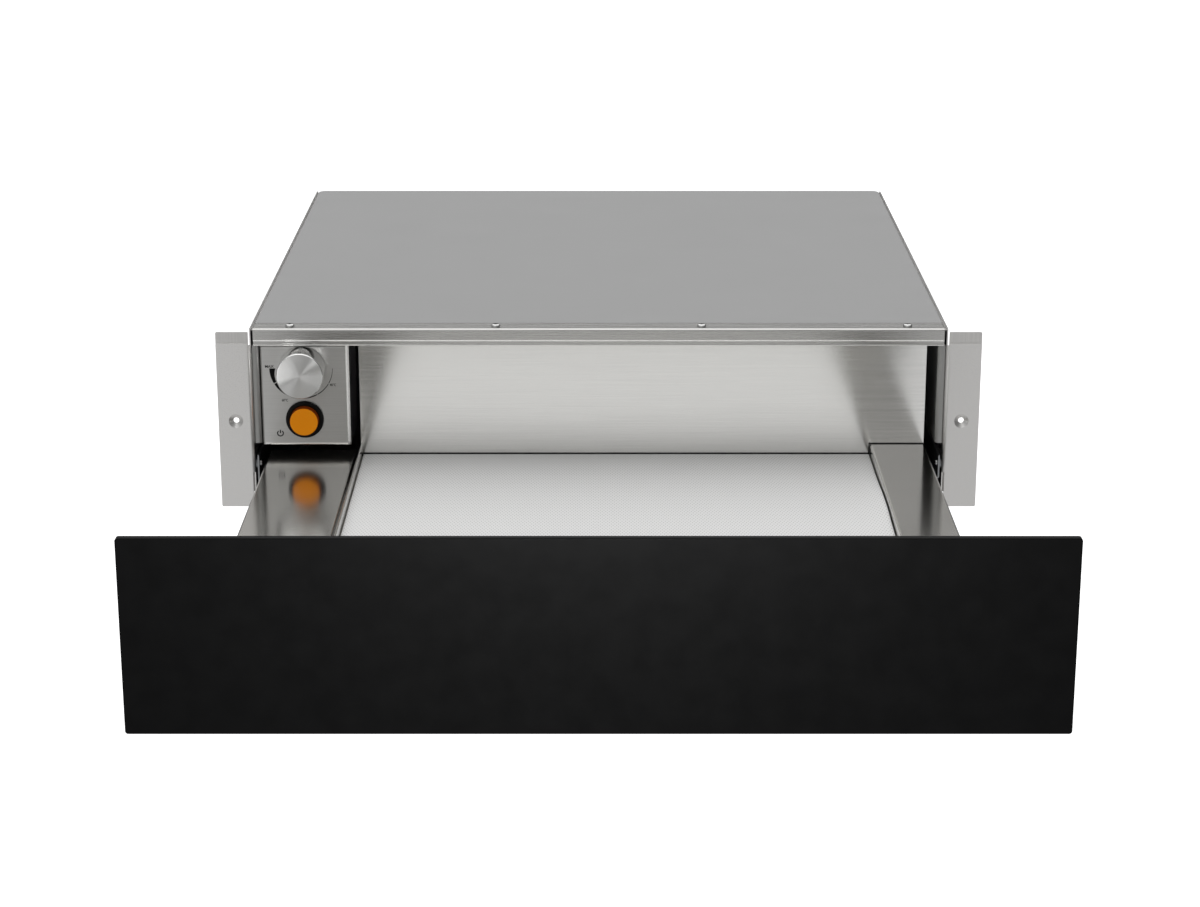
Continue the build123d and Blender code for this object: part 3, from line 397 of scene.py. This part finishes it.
# %% Mouldings, rubber and board
MOULD_GRAIN_PER_METRE = 1500
MOULD_GRAIN_HEIGHT = 0.02 * MM
MOULD_GRAIN_STRENGTH = 0.6
BOARD_GRAIN_PER_METRE = 500
BOARD_GRAIN_HEIGHT = 0.2 * MM
MOULD_GLOSS = 0.12
MOULD_SWING = 0.1


def moulded(name, dark, light, roughness, grain=MOULD_GRAIN_PER_METRE, height=MOULD_GRAIN_HEIGHT):
    """A moulding, rubber or board with a fine even grain."""
    rough = ((1 - MOULD_SWING) * roughness, (1 + MOULD_SWING) * roughness)
    finish, shader, noise = speckled(name, grain, dark, light, rough)
    bump = put(finish, "Bump", {"Strength": MOULD_GRAIN_STRENGTH, "Distance": height})
    join(finish, noise, bump.inputs["Height"])
    join(finish, bump.outputs["Normal"], shader.inputs["Normal"])
    shade_with(shader, Specular_IOR_Level=MOULD_GLOSS)
    return finish


black_moulding = moulded("black_moulding", (0.004, 0.004, 0.004), (0.008, 0.008, 0.008), roughness=0.4)
pale_moulding = moulded("pale_moulding", (0.62, 0.61, 0.56), (0.70, 0.69, 0.64), roughness=0.5)
dark_rubber = moulded("dark_rubber", (0.015, 0.015, 0.015), (0.03, 0.03, 0.03), roughness=0.8)
heater_silicone = moulded("heater_silicone", (0.38, 0.08, 0.04), (0.48, 0.11, 0.06), roughness=0.6)
mineral_board = moulded("mineral_board", (0.62, 0.59, 0.50), (0.78, 0.75, 0.66), roughness=0.95,
                        grain=BOARD_GRAIN_PER_METRE, height=BOARD_GRAIN_HEIGHT)
print("there are now", len(bpy.data.materials), "materials in the scene")

# %% [markdown]
# ## Who wears what
# Each solid keeps its shape and only gets a better material. The grain of a sheet follows the way it was
# cut and folded, so sheets of the same steel don't all wear the same brushed finish.

# %% Dress the solids
WEARS = {
    satin_upright: ["left_flange_backing", "right_flange_backing"],
    satin_deep: ["left_side_panel", "right_side_panel"],
    box_steel: ["control_box", "front_carrier", "carrier_inner_panel"],
    rail_steel: ["front_rail"],
    tray_steel: ["drawer_tray"],
    back_steel: ["drawer_back_panel"],
    cover_steel: ["top_cover", "base_panel", "rear_panel", "under_tray_cover"],
    inner_steel: ["cross_brace", "left_side_liner", "right_side_liner"],
    zinc: ["left_cabinet_rail", "right_cabinet_rail", "left_middle_rail", "right_middle_rail",
           "left_drawer_rail", "right_drawer_rail"],
    bright_screw: ["front_rail_screws", "housing_screws", "runner_screws", "carrier_screws",
                   "knob_shaft", "striker_plate"],
    spun: ["control_knob"],
    glass: ["front_glass"],
    amber: ["button_cap"],
    black_moulding: ["switch_bezel", "switch_body", "latch_housing", "latch_plunger", "cord_gland"],
    pale_moulding: ["left_lower_roller_cage", "right_lower_roller_cage", "left_upper_roller_cage",
                    "right_upper_roller_cage", "terminal_block", "thermostat_body", "thermal_cut_out"],
    dark_rubber: ["bonding_tape", "front_buffers"],
    heater_silicone: ["heater_mat"],
    mineral_board: ["insulation_board"],
}
for finish, wearers in WEARS.items():
    for wearer in wearers:
        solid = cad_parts[wearer]
        solid.data.materials.clear()
        solid.data.materials.append(finish)
dressed = {wearer for wearers in WEARS.values() for wearer in wearers}
print("dressed", len(dressed), "solids; left for a piece of its own:", sorted(set(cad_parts) - dressed))

# %% [markdown]
# ## From points to a piece
# What is too soft or too thin for the solid model is built here as a mesh. Each mesh starts as rows of
# points that are covered with quads, and ends as a piece with its finish. Two small helpers pick the new
# points and the open edges out of what an extrusion gives back.

# %% From points to a piece
def skin(mesh_in_work, rows):
    """Covers rows of points with quads, and returns the mesh in work."""
    points = [[mesh_in_work.verts.new(place) for place in row] for row in rows]
    for one, two in zip(points, points[1:]):
        for corners in zip(one, one[1:], two[1:], two):
            mesh_in_work.faces.new(corners)
    return mesh_in_work


def points_of(made):
    """The points in what an extrusion made."""
    return [part for part in made if isinstance(part, bmesh.types.BMVert)]


def open_edges_of(made):
    """The edges with a face on one side only, in what an extrusion made."""
    return [part for part in made if isinstance(part, bmesh.types.BMEdge) and part.is_boundary]


def as_piece(name, mesh_in_work, finish, smooth=False):
    """Turns a mesh in work into a piece of the scene."""
    mesh = bpy.data.meshes.new(name)
    mesh_in_work.to_mesh(mesh)
    mesh_in_work.free()
    mesh.materials.append(finish)
    mesh.polygons.foreach_set("use_smooth", [smooth] * len(mesh.polygons))
    piece = bpy.data.objects.new(name, mesh)
    bpy.context.scene.collection.objects.link(piece)
    return piece


print("ready to make pieces beside the", len(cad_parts), "solids")

# %% [markdown]
# ## The non-slip mat's surface
# A sheet of pale silicone lies loose in the recess. It has a staggered lattice of tiny dimples, and its
# right edge has sprung up a little where it was pressed in. A flat slab with a picture of dots would lose
# both, so two formulas say how deep a point lies in a dimple and how far it has sprung up.

# %% The non-slip mat's surface
DIMPLE_PITCH_X = 2.64 * MM
DIMPLE_PITCH_Y = 6.4 * MM
DIMPLE_DEPTH = 0.45 * MM
LIFT = 3.2 * MM
LIFT_AT = -114 * MM
LIFT_SPAN = 52 * MM
LIFT_REACH = 10 * MM
mat_low, mat_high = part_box("non_slip_mat")


def dimple(x, y):
    """1 in the middle of a dimple, 0 between them."""
    wave = math.cos(math.tau * x / DIMPLE_PITCH_X) * math.cos(math.tau * y / DIMPLE_PITCH_Y)
    return max(0.0, wave) ** 2


def sprung(x, y):
    """How far the mat's right edge has sprung up at a point."""
    near_edge = math.exp(-((mat_high[0] - x) / LIFT_REACH) ** 2)
    along_edge = math.exp(-((y - LIFT_AT) / LIFT_SPAN) ** 2)
    return LIFT * near_edge * along_edge


print("the mat's right edge springs up by", round(sprung(mat_high[0], LIFT_AT) / MM, 1), "mm")

# %% [markdown]
# ## The mat's silicone
# The same waves that sink the points also darken them with painted shade, so colour and shape always agree.
# In the material they are two cosines of the object's own metres, multiplied, and a ramp turns them into the
# pale colour and the painted shade in the dimples.

# %% The mat's silicone
MAT_PALE = (0.78, 0.78, 0.775)
MAT_DIMPLE_PAINTED_SHADE = (0.52, 0.52, 0.51)
DIMPLE_SHADE_ENDS = (0.25, 0.85)
MAT_GRAIN_PER_METRE = 700
MAT_ROUGHNESS = (0.5, 0.6)


def mat_finish():
    """Pale silicone, with shade painted into its dimples."""
    finish, shader = start_finish("mat_silicone")
    where = put(finish, "TexCoord")
    parts = put(finish, "SeparateXYZ")
    join(finish, where.outputs["Object"], parts.inputs["Vector"])
    waves = []
    for axis, pitch in (("X", DIMPLE_PITCH_X), ("Y", DIMPLE_PITCH_Y)):
        turn = work_out(finish, "MULTIPLY", parts.outputs[axis], math.tau / pitch)
        waves.append(work_out(finish, "COSINE", turn))
    lattice = work_out(finish, "MULTIPLY", *waves)
    # Painted shade: the dimples' darker colour stands in for the shade that falls in them.
    shades = tint(finish, lattice, MAT_PALE, MAT_DIMPLE_PAINTED_SHADE, ends=DIMPLE_SHADE_ENDS)
    join(finish, shades, shader.inputs["Base Color"])
    grain = even_noise(finish, MAT_GRAIN_PER_METRE)
    join(finish, spread(finish, grain, *MAT_ROUGHNESS), shader.inputs["Roughness"])
    return finish


silicone = mat_finish()
print("the dimples repeat every", round(DIMPLE_PITCH_X / MM, 2), "by", round(DIMPLE_PITCH_Y / MM, 2), "mm")

# %% [markdown]
# ## The mat's top
# The top is a grid fine enough for the dimples. Its inner points lie on the dimples' own lattice, so that
# none is missed, and its outer ones on the sheet's edge.

# %% The mat's top
GRID_X = DIMPLE_PITCH_X / 2
GRID_Y = DIMPLE_PITCH_Y / 4
COARSER = 1


def top_point(x, y, inside):
    """A point of the mat's top, moved onto the dimples' lattice and sunk if it isn't on the edge."""
    if not inside:
        return (x, y, mat_high[2] + sprung(x, y))
    grid_x = round(x / GRID_X) * GRID_X
    grid_y = round(y / GRID_Y) * GRID_Y
    return (grid_x, grid_y, mat_high[2] - DIMPLE_DEPTH * dimple(grid_x, grid_y) + sprung(x, y))


def mat_top():
    """The rows of points of the mat's top."""
    width, length = mat_high[0] - mat_low[0], mat_high[1] - mat_low[1]
    columns, rows = int(width / (GRID_X * COARSER)), int(length / (GRID_Y * COARSER))
    top = []
    for row in range(rows + 1):
        y = mat_low[1] + length * row / rows
        xs = [mat_low[0] + width * column / columns for column in range(columns + 1)]
        inner_row = 0 < row < rows
        top.append([top_point(x, y, inner_row and 0 < column < columns) for column, x in enumerate(xs)])
    return top


top_rows = mat_top()
print("the mat's top has", len(top_rows), "rows of", len(top_rows[0]), "points")

# %% [markdown]
# ## The mat's underside
# A skirt runs down from the top all round. The underside slopes down from the sprung edge within a narrow
# border and is flat inside it, because one flat face that met the lifted edge would cut up through the top.

# %% The mat's underside
MAT_THICK = 1.3 * MM
BORDER = 22 * MM


def close_below(sheet):
    """Adds the skirt, the sloping border and the flat underside."""
    rim = [edge for edge in sheet.edges if edge.is_boundary]
    skirt = bmesh.ops.extrude_edge_only(sheet, edges=rim)["geom"]
    bmesh.ops.translate(sheet, verts=points_of(skirt), vec=(0, 0, -MAT_THICK))
    border = bmesh.ops.extrude_edge_only(sheet, edges=open_edges_of(skirt))["geom"]
    for point in points_of(border):
        point.co.x = min(max(point.co.x, mat_low[0] + BORDER), mat_high[0] - BORDER)
        point.co.y = min(max(point.co.y, mat_low[1] + BORDER), mat_high[1] - BORDER)
        point.co.z = mat_high[2] - MAT_THICK
    bmesh.ops.triangle_fill(sheet, edges=open_edges_of(border), use_beauty=True)
    bmesh.ops.recalc_face_normals(sheet, faces=sheet.faces)


mat_sheet = skin(bmesh.new(), top_rows)
close_below(mat_sheet)
mat = as_piece("silicone_mat", mat_sheet, silicone, smooth=True)
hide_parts("non_slip_mat")
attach(mat, "drawer")
print("the mat has", len(mat.data.polygons), "faces")

# %% [markdown]
# ## The painted shadow behind the tray
# Where the tray meets the back panel the photograph shows one thin black line: along the foot of the
# recess, up its right end and on behind the right ledge. It is the shade in the gap between the two sheets,
# painted here as a thin strip of black rubber laid in that gap. Each pair of numbers below is the strip's
# lower and upper edge at one corner, seen from the front. The pairs are joined by quads, so that the corners
# are mitred, and the strip gets the depth of the gap.

# %% The painted shadow behind the tray
SHADOW_STRIP_CORNERS = [((-186.4, 37.4), (-186.4, 39.2)), ((214.4, 37.4), (213.6, 39.2)),
                ((214.4, 46.8), (213.6, 47.4)), ((257.4, 46.8), (257.4, 47.4))]
SHADOW_STRIP_FRONT = 16.0 * MM
SHADOW_STRIP_DEPTH = 0.5 * MM


def lay_shadow_strip():
    """One black strip of painted shadow along the joint, mitred at its two corners."""
    strip = skin(bmesh.new(), [[(x * MM, SHADOW_STRIP_FRONT, z * MM) for x, z in corner] for corner in SHADOW_STRIP_CORNERS])
    swept = bmesh.ops.extrude_face_region(strip, geom=strip.faces[:])["geom"]
    bmesh.ops.translate(strip, verts=points_of(swept), vec=(0, SHADOW_STRIP_DEPTH, 0))
    bmesh.ops.recalc_face_normals(strip, faces=strip.faces)
    return as_piece("tray_rear_painted_shadow", strip, dark_rubber)


shadow_strip = lay_shadow_strip()
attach(shadow_strip, "drawer")
print("the seal runs", round((SHADOW_STRIP_CORNERS[-1][0][0] - SHADOW_STRIP_CORNERS[0][0][0]) / 10), "cm behind the tray")

# %% [markdown]
# ## Ink
# The control box is screen printed in matt black. Ink is a few hundredths of a millimetre thick, so each
# printed shape is a flat strip just proud of the steel, which keeps its edge sharp from near by.

# %% Ink
INK_SHADES = ((0.002, 0.002, 0.002), (0.004, 0.004, 0.004))
INK_SPECKS_PER_METRE = 4000
INK_THICK = 0.04 * MM
BOX_FACE_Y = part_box("control_box")[0][1]

ink, ink_shader, _ = speckled("black_ink", INK_SPECKS_PER_METRE, *INK_SHADES, roughness=(0.5, 0.6))
shade_with(ink_shader, Specular_IOR_Level=0.1)


def flat_strip(name, rows):
    """A thin printed strip on the face of the control box, from rows of (x, z) points."""
    strip = skin(bmesh.new(), [[(x, BOX_FACE_Y - INK_THICK, z) for x, z in row] for row in rows])
    bmesh.ops.recalc_face_normals(strip, faces=strip.faces)
    piece = as_piece(name, strip, ink)
    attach(piece, "cabinet")
    return piece


def ring_points(centre, turn, outer, inner):
    """The outer and inner point of a ring, this many degrees clockwise from three o'clock."""
    angle = math.radians(-turn)
    return [(centre[0] + r * math.cos(angle), centre[1] + r * math.sin(angle)) for r in (outer, inner)]


print("the face of the control box is at y =", round(BOX_FACE_Y / MM, 1), "mm")

# %% [markdown]
# ## The printed dial scale
# A wedge is printed round the knob on the face of the control box: thin at three o'clock, it swells as it
# runs clockwise round the bottom to nine o'clock, where the heat is at its most. Narrow breaks mark the
# settings. Its width follows a formula: a steady growth, and a high power that swells only near the end.

# %% The printed dial scale
DIAL_CENTRE = (-232.0 * MM, 112.2 * MM)
SCALE_RADIUS = 24.7 * MM
SCALE_SWEEP = 180
SETTING_STEP = 30
SETTING_BREAK = 1.6
THINNEST = 0.3
GROWTH_PER_DEGREE = 0.008
END_SWELL = 3.1
SWELL_POWER = 7
PARTS_PER_STRETCH = 12


def scale_width(turn):
    """Width of the printed wedge, this many degrees on from three o'clock."""
    swell = END_SWELL * (turn / SCALE_SWEEP) ** SWELL_POWER
    return (THINNEST + GROWTH_PER_DEGREE * turn + swell) * MM


stretches = SCALE_SWEEP // SETTING_STEP
for stretch in range(stretches):
    begin = stretch * SETTING_STEP + (SETTING_BREAK / 2 if stretch else 0)
    end = (stretch + 1) * SETTING_STEP - (SETTING_BREAK / 2 if stretch < stretches - 1 else 0)
    wedge = []
    for part in range(PARTS_PER_STRETCH + 1):
        turn = begin + (end - begin) * part / PARTS_PER_STRETCH
        wedge.append(ring_points(DIAL_CENTRE, turn, SCALE_RADIUS, SCALE_RADIUS - scale_width(turn)))
    flat_strip(f"dial_scale_{stretch + 1}", wedge)
print("printed the dial scale in", stretches, "stretches")

# %% [markdown]
# ## Words and numbers
# The settings are printed beside the scale. Text is made as a curve, which Blender fills, and then turned
# into a mesh and set to the width that was measured. Each row of the table below gives a piece's name, its
# words, the x and z of their middle, and their width.

# %% Words and numbers
LETTER_HEIGHT = 2.2 * MM
LETTER_WEIGHT = 0.022
LETTER_CURVE_STEPS = 3
LABELS = (
    ("label_max", "MAX", -256.5 * MM, 113.8 * MM, 6.8 * MM),
    ("label_60", "60°C", -245.4 * MM, 86.5 * MM, 4.8 * MM),
    ("label_40", "40°C", -207.5 * MM, 99.0 * MM, 4.7 * MM),
)


def filled_text(name, words):
    """A mesh of filled letters, in the size that Blender gives them."""
    text = bpy.data.curves.new(name, "FONT")
    text.body = words
    text.resolution_u = LETTER_CURVE_STEPS
    text.offset = LETTER_WEIGHT
    writer = bpy.data.objects.new(name + "_curve", text)
    bpy.context.scene.collection.objects.link(writer)
    bpy.context.view_layer.update()
    mesh = bpy.data.meshes.new_from_object(writer.evaluated_get(bpy.context.evaluated_depsgraph_get()))
    bpy.data.objects.remove(writer)
    return mesh


def print_label(name, words, x, z, width):
    """Prints words on the face of the control box, centred at x and z."""
    mesh = filled_text(name, words)
    xs = [point.co.x for point in mesh.vertices]
    ys = [point.co.y for point in mesh.vertices]
    middle = ((min(xs) + max(xs)) / 2, (min(ys) + max(ys)) / 2)
    grow = (width / (max(xs) - min(xs)), LETTER_HEIGHT / (max(ys) - min(ys)))
    for point in mesh.vertices:
        across = (point.co.x - middle[0]) * grow[0]
        up = (point.co.y - middle[1]) * grow[1]
        point.co = (x + across, BOX_FACE_Y - INK_THICK, z + up)
    mesh.materials.clear()
    mesh.materials.append(ink)
    label = bpy.data.objects.new(name, mesh)
    bpy.context.scene.collection.objects.link(label)
    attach(label, "cabinet")
    return label


for label in LABELS:
    print_label(*label)
print("printed", len(LABELS), "labels, each", round(LETTER_HEIGHT / MM, 1), "mm high")

# %% [markdown]
# ## The power sign
# To the lower left of the button stands the usual sign: a broken ring with a bar in its gap. Both are
# strips of ink, as the scale is, and the ring comes from the same points round a centre.

# %% The power sign
POWER_SIGN = (-249.8 * MM, 59.5 * MM)
POWER_RADIUS = 2.7 * MM
POWER_STROKE = 0.9 * MM
POWER_GAP = 38
POWER_BAR = (0.1 * MM, 2.8 * MM)
TWELVE_O_CLOCK = -90
RING_PARTS = 32

ring = []
for part in range(RING_PARTS + 1):
    turn = TWELVE_O_CLOCK + POWER_GAP + (360 - 2 * POWER_GAP) * part / RING_PARTS
    ring.append(ring_points(POWER_SIGN, turn, POWER_RADIUS, POWER_RADIUS - POWER_STROKE))
flat_strip("power_sign_ring", ring)
bar_sides = (POWER_SIGN[0] - POWER_STROKE / 2, POWER_SIGN[0] + POWER_STROKE / 2)
flat_strip("power_sign_bar", [[(x, POWER_SIGN[1] + height) for x in bar_sides] for height in POWER_BAR])
print("the power sign is", round(2 * POWER_RADIUS / MM, 1), "mm across")

# %% [markdown]
# ## The front rail's two bright edges
# A folded sheet edge is never sharp: it is dressed to a small round, and that round catches the light from
# above as one thin bright line. The photograph shows two along the rail, one where its face jogs and one at
# its foot. Each is a half-round bead, 1.2 mm high, laid along the whole rail, in a steel much paler than the
# rail's, so the line is partly the light on a real round and partly a painted highlight.

# %% The front rail's two bright edges
# The beads take the back panel's pale shade, far paler than the rail's: a painted highlight.
highlight_steel = brushed("painted_highlight_steel", BACK, roughness=0.22, along="X", across=Z_WAY, edge=0.2 * MM)
rail_low, rail_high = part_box("front_rail")
BEAD_RADIUS = 0.6 * MM
BEAD_INSET = 0.2 * MM
BEAD_TURNS = range(-90, 91, 15)
JOG_BEAD = (rail_low[1] + 0.15 * MM, rail_low[2] + 3.7 * MM)
FOOT_BEAD = (rail_low[1] + 1.1 * MM, rail_low[2] + 0.1 * MM)


def rail_bead(name, y, z):
    """A half-round bead of paler steel along the front rail, at this y and z, that carries a painted
    highlight.
    """
    rows = []
    for turn in BEAD_TURNS:
        out = BEAD_RADIUS * math.cos(math.radians(turn))
        up = BEAD_RADIUS * math.sin(math.radians(turn))
        rows.append([(x, y - out, z + up) for x in (rail_low[0] + BEAD_INSET, rail_high[0] - BEAD_INSET)])
    piece = as_piece(name, skin(bmesh.new(), rows), highlight_steel)
    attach(piece, "cabinet")
    return piece


rail_bead("front_rail_jog_highlight", *JOG_BEAD)
rail_bead("front_rail_foot_highlight", *FOOT_BEAD)
print("two edges", round((rail_high[0] - rail_low[0]) / MM), "mm long along the front rail")

# %% [markdown]
# ## The control box's two bright edges
# The box is folded from one sheet, and its right and lower folds catch the light as two soft lines. The
# solid already has the round of the folds, so each line is a painted highlight: a strip of brighter steel,
# laid a twentieth of a millimetre off that round.

# %% The control box's two bright edges
box_near, box_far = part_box("control_box")
FOLD_RADIUS = 2.4 * MM
FOLD_PROUD = 0.05 * MM
FOLD_TURNS = range(0, 91, 10)
TO_THE_FRONT = Vector((0, -1, 0))
fold_y = box_near[1] + FOLD_RADIUS
fold_x, fold_z = box_far[0] - FOLD_RADIUS, box_near[2] + FOLD_RADIUS
fold_corner = Vector((fold_x, fold_y, fold_z))


def fold_highlight_strip(name, start, end, outward):
    """A round strip of brighter steel between two points on the fold's axis, from the front round to the
    outward side: a painted highlight on the fold.
    """
    rows = []
    for turn in FOLD_TURNS:
        angle = math.radians(turn)
        way = Vector(outward) * math.sin(angle) + TO_THE_FRONT * math.cos(angle)
        rows.append([Vector(point) + way * (FOLD_RADIUS + FOLD_PROUD) for point in (start, end)])
    strip = skin(bmesh.new(), rows)
    bmesh.ops.recalc_face_normals(strip, faces=strip.faces)
    if strip.faces[:][0].normal.y > 0:
        bmesh.ops.reverse_faces(strip, faces=strip.faces)
    piece = as_piece(name, strip, highlight_steel)
    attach(piece, "cabinet")
    return piece


fold_highlight_strip("control_box_right_fold_highlight", fold_corner, (fold_x, fold_y, box_far[2]), (1, 0, 0))
fold_highlight_strip("control_box_lower_fold_highlight", (box_near[0] + FOLD_RADIUS, fold_y, fold_z), fold_corner, (0, 0, -1))
print("two folds round a box", round((box_far[0] - box_near[0]) / MM), "mm wide")

# %% [markdown]
# ## The knob's pointer
# Two short strokes are printed side by side on the top of the knob's side, to be read against the scale.
# They bend with the side and turn with the knob.

# %% The knob's pointer
STROKE_HALF = 0.3 * MM
STROKE_PLACES = (-0.6 * MM, 0.9 * MM)
STROKE_Y = (knob_low[1] + 2.0 * MM, knob_low[1] + 5.0 * MM)


def pointer_stroke(name, offset):
    """One printed stroke on the knob's side, bent round it."""
    rows = []
    for step in (-1, 0, 1):
        x = offset + step * STROKE_HALF
        height = math.sqrt(KNOB_RADIUS ** 2 - x ** 2) + INK_THICK
        rows.append([(KNOB_AXIS[0] + x, y, KNOB_AXIS[2] + height) for y in STROKE_Y])
    stroke = skin(bmesh.new(), rows)
    bmesh.ops.recalc_face_normals(stroke, faces=stroke.faces)
    piece = as_piece(name, stroke, ink)
    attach(piece, "knob")
    return piece


for number, place in enumerate(STROKE_PLACES, 1):
    pointer_stroke(f"pointer_stroke_{number}", place)
print("printed", len(STROKE_PLACES), "strokes on a knob of radius", round(KNOB_RADIUS / MM, 1), "mm")

# %% [markdown]
# ## The tent's walls
# The picture is bright and even, as in a white studio tent, yet the cabinet's inside is nearly black. So
# the world is a tent whose walls are dim and whose big light hangs overhead. A world's light can be worked
# out from the way in which a ray leaves the object, so the walls need no mesh. They are brighter in front
# than behind, dimmer at the far left and right, and a little brighter on the left than on the right.

# %% The tent's walls
FRONT_LIGHT = 0.59
BEHIND_LIGHT = 0.19
FRONT_TO_BEHIND = (-0.1, 0.8)
LEAN_TO_LEFT = -0.12
SIDES_DIM = -0.65


def eased(owner, source, begin, end, low=0.0, high=1.0):
    """Goes from low to high between two ends, with soft shoulders."""
    span = {"From Min": begin, "From Max": end, "To Min": low, "To Max": high}
    step = put(owner, "MapRange", span, interpolation_type="SMOOTHSTEP")
    join(owner, source, step.inputs["Value"])
    return step.outputs["Result"]


def wall_light(world, way):
    """The light of the tent's walls. Way holds the X, Y and Z of a ray's direction."""
    depth = eased(world, way["Y"], *FRONT_TO_BEHIND, FRONT_LIGHT, BEHIND_LIGHT)
    squared = work_out(world, "MULTIPLY", way["X"], way["X"])
    lean = work_out(world, "MULTIPLY_ADD", way["X"], LEAN_TO_LEFT, 1)
    sides = work_out(world, "MULTIPLY_ADD", squared, SIDES_DIM, lean)
    return work_out(world, "MULTIPLY", depth, sides)


print("the walls give", FRONT_LIGHT, "in front and", BEHIND_LIGHT, "behind")

# %% [markdown]
# ## The dark panel
# In the photograph the tray's right ledge mirrors something darker, in front at the right and above the
# drawer. A photographer hangs a panel there to shape a reflection. Here it is a part of the tent, soft on
# all its sides, that gives half of the light.

# %% The dark panel
PANEL_EDGES = {"X": (-0.02, 0.14), "Y": (0.0, -0.4), "Z": (0.08, 0.32)}
PANEL_LIGHT = 0.5


def panel_light(world, way):
    """The share of the walls' light that is left in front of the panel."""
    across, forward, upward = [eased(world, way[axis], *edges) for axis, edges in PANEL_EDGES.items()]
    beside = work_out(world, "MULTIPLY", across, forward)
    on_panel = work_out(world, "MULTIPLY", beside, upward)
    return spread(world, on_panel, 1.0, PANEL_LIGHT, ends=(0.0, 1.0))


print("the panel leaves", PANEL_LIGHT, "of the light")

# %% [markdown]
# ## The tent's roof
# The big light is overhead and a little behind, which leaves the front of everything to the dimmer walls.
# It takes over from the walls wherever a ray leaves close enough to its way.

# %% The tent's roof
TOP_LIGHT = 1.70
TOP_WAY = (0, 0.34, 0.94)
ROOF_EDGES = (0.55, 0.9)


def tent():
    """A white tent as a world: dim walls with a darker panel, and a bright roof."""
    world = bpy.data.worlds.new("white_tent")
    bpy.context.scene.world = world
    world.use_nodes = True
    background = world.node_tree.nodes["Background"]
    background.inputs["Color"].default_value = (1, 1, 1, 1)
    where = put(world, "TexCoord")
    parts = put(world, "SeparateXYZ")
    join(world, where.outputs["Generated"], parts.inputs["Vector"])
    way = parts.outputs
    walls = work_out(world, "MULTIPLY", wall_light(world, way), panel_light(world, way))
    overhead = put(world, "VectorMath", operation="DOT_PRODUCT")
    overhead.inputs[1].default_value = TOP_WAY
    join(world, where.outputs["Generated"], overhead.inputs[0])
    roof = put(world, "Mix", data_type="FLOAT")
    roof.inputs["B"].default_value = TOP_LIGHT
    join(world, eased(world, overhead.outputs["Value"], *ROOF_EDGES), roof.inputs["Factor"])
    join(world, walls, roof.inputs["A"])
    join(world, roof.outputs["Result"], background.inputs["Strength"])
    return world


white_tent = tent()
print("the tent is worked out by", len(white_tent.node_tree.nodes), "nodes")

# %% [markdown]
# ## The floor
# The floor is a plain pale sheet that glows, as a light table does, so that no shadow shows on it. It is
# kept out of reflections and of the light that falls on other things, or its glow would fill the cabinet's
# inside.

# %% The floor
FLOOR_HALF = 30.0
FLOOR_DROP = 0.5 * MM
FLOOR_GLOW = 1.2
FLOOR_SHADES = ((0.20, 0.20, 0.20), (0.22, 0.22, 0.22))
FLOOR_MOTTLE_PER_METRE = 3


def pale_floor():
    """A plain pale floor sheet, just under the object."""
    finish, shader = start_finish("pale_floor")
    mottle = even_noise(finish, FLOOR_MOTTLE_PER_METRE)
    join(finish, tint(finish, mottle, *FLOOR_SHADES), shader.inputs["Base Color"])
    shade_with(shader, Roughness=0.9, Emission_Color=(1, 1, 1, 1), Emission_Strength=FLOOR_GLOW)
    reach = (-FLOOR_HALF, FLOOR_HALF)
    sheet = skin(bmesh.new(), [[(x, y, -FLOOR_DROP) for x in reach] for y in reach])
    floor = as_piece("pale_floor", sheet, finish)
    floor.visible_glossy = False
    floor.visible_diffuse = False
    return floor


pale_floor()
print("the floor lies", round(FLOOR_DROP / MM, 1), "mm below the object")

# %% [markdown]
# ## The lamps
# A photographer lights a turned knob apart, to bring out its rays. Two small lamps cross over it and a tall
# one stands at the left, and none of them reaches anything else. The last lamp is low and well in front,
# and puts the soft gleam on the middle of the glass, and there alone.

# %% The lamps
KNOB_LAMPS = {
    "knob_lamp_left": {"place": (-0.60, -0.78, 0.37), "size": (0.15, 0.15), "watts": 0.13},
    "knob_lamp_right": {"place": (0.03, -0.86, 0.23), "size": (0.15, 0.15), "watts": 0.25},
    "knob_wall_left": {"place": (-1.20, -0.90, 0.15), "size": (0.4, 1.4), "watts": 8.0},
}
GLASS_LAMP = {"place": (0, -1.80, 0.04), "size": (0.30, 0.06), "watts": 18.0}
GLASS_MIDDLE = (0, -0.45, 0.06)


def softbox(name, place, aim, size, watts, lights):
    """A soft rectangular lamp at a place, turned to its aim, that lights one solid only."""
    lamp = bpy.data.lights.new(name, "AREA")
    lamp.shape = "RECTANGLE"
    lamp.size, lamp.size_y = size
    lamp.energy = watts
    holder = bpy.data.objects.new(name, lamp)
    holder.location = place
    holder.rotation_mode = "QUATERNION"
    holder.rotation_quaternion = (Vector(aim) - Vector(place)).to_track_quat("-Z", "Y")
    bpy.context.scene.collection.objects.link(holder)
    kept = bpy.data.collections.new(name + "_lights")
    kept.objects.link(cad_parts[lights])
    holder.light_linking.receiver_collection = kept
    return holder


for name, lamp in KNOB_LAMPS.items():
    softbox(name, aim=KNOB_AXIS, lights="control_knob", **lamp)
softbox("glass_lamp", aim=GLASS_MIDDLE, lights="front_glass", **GLASS_LAMP)
bpy.context.scene.view_settings.view_transform = "Standard"
print("lit the scene with", len(bpy.data.lights), "lamps in a tent")
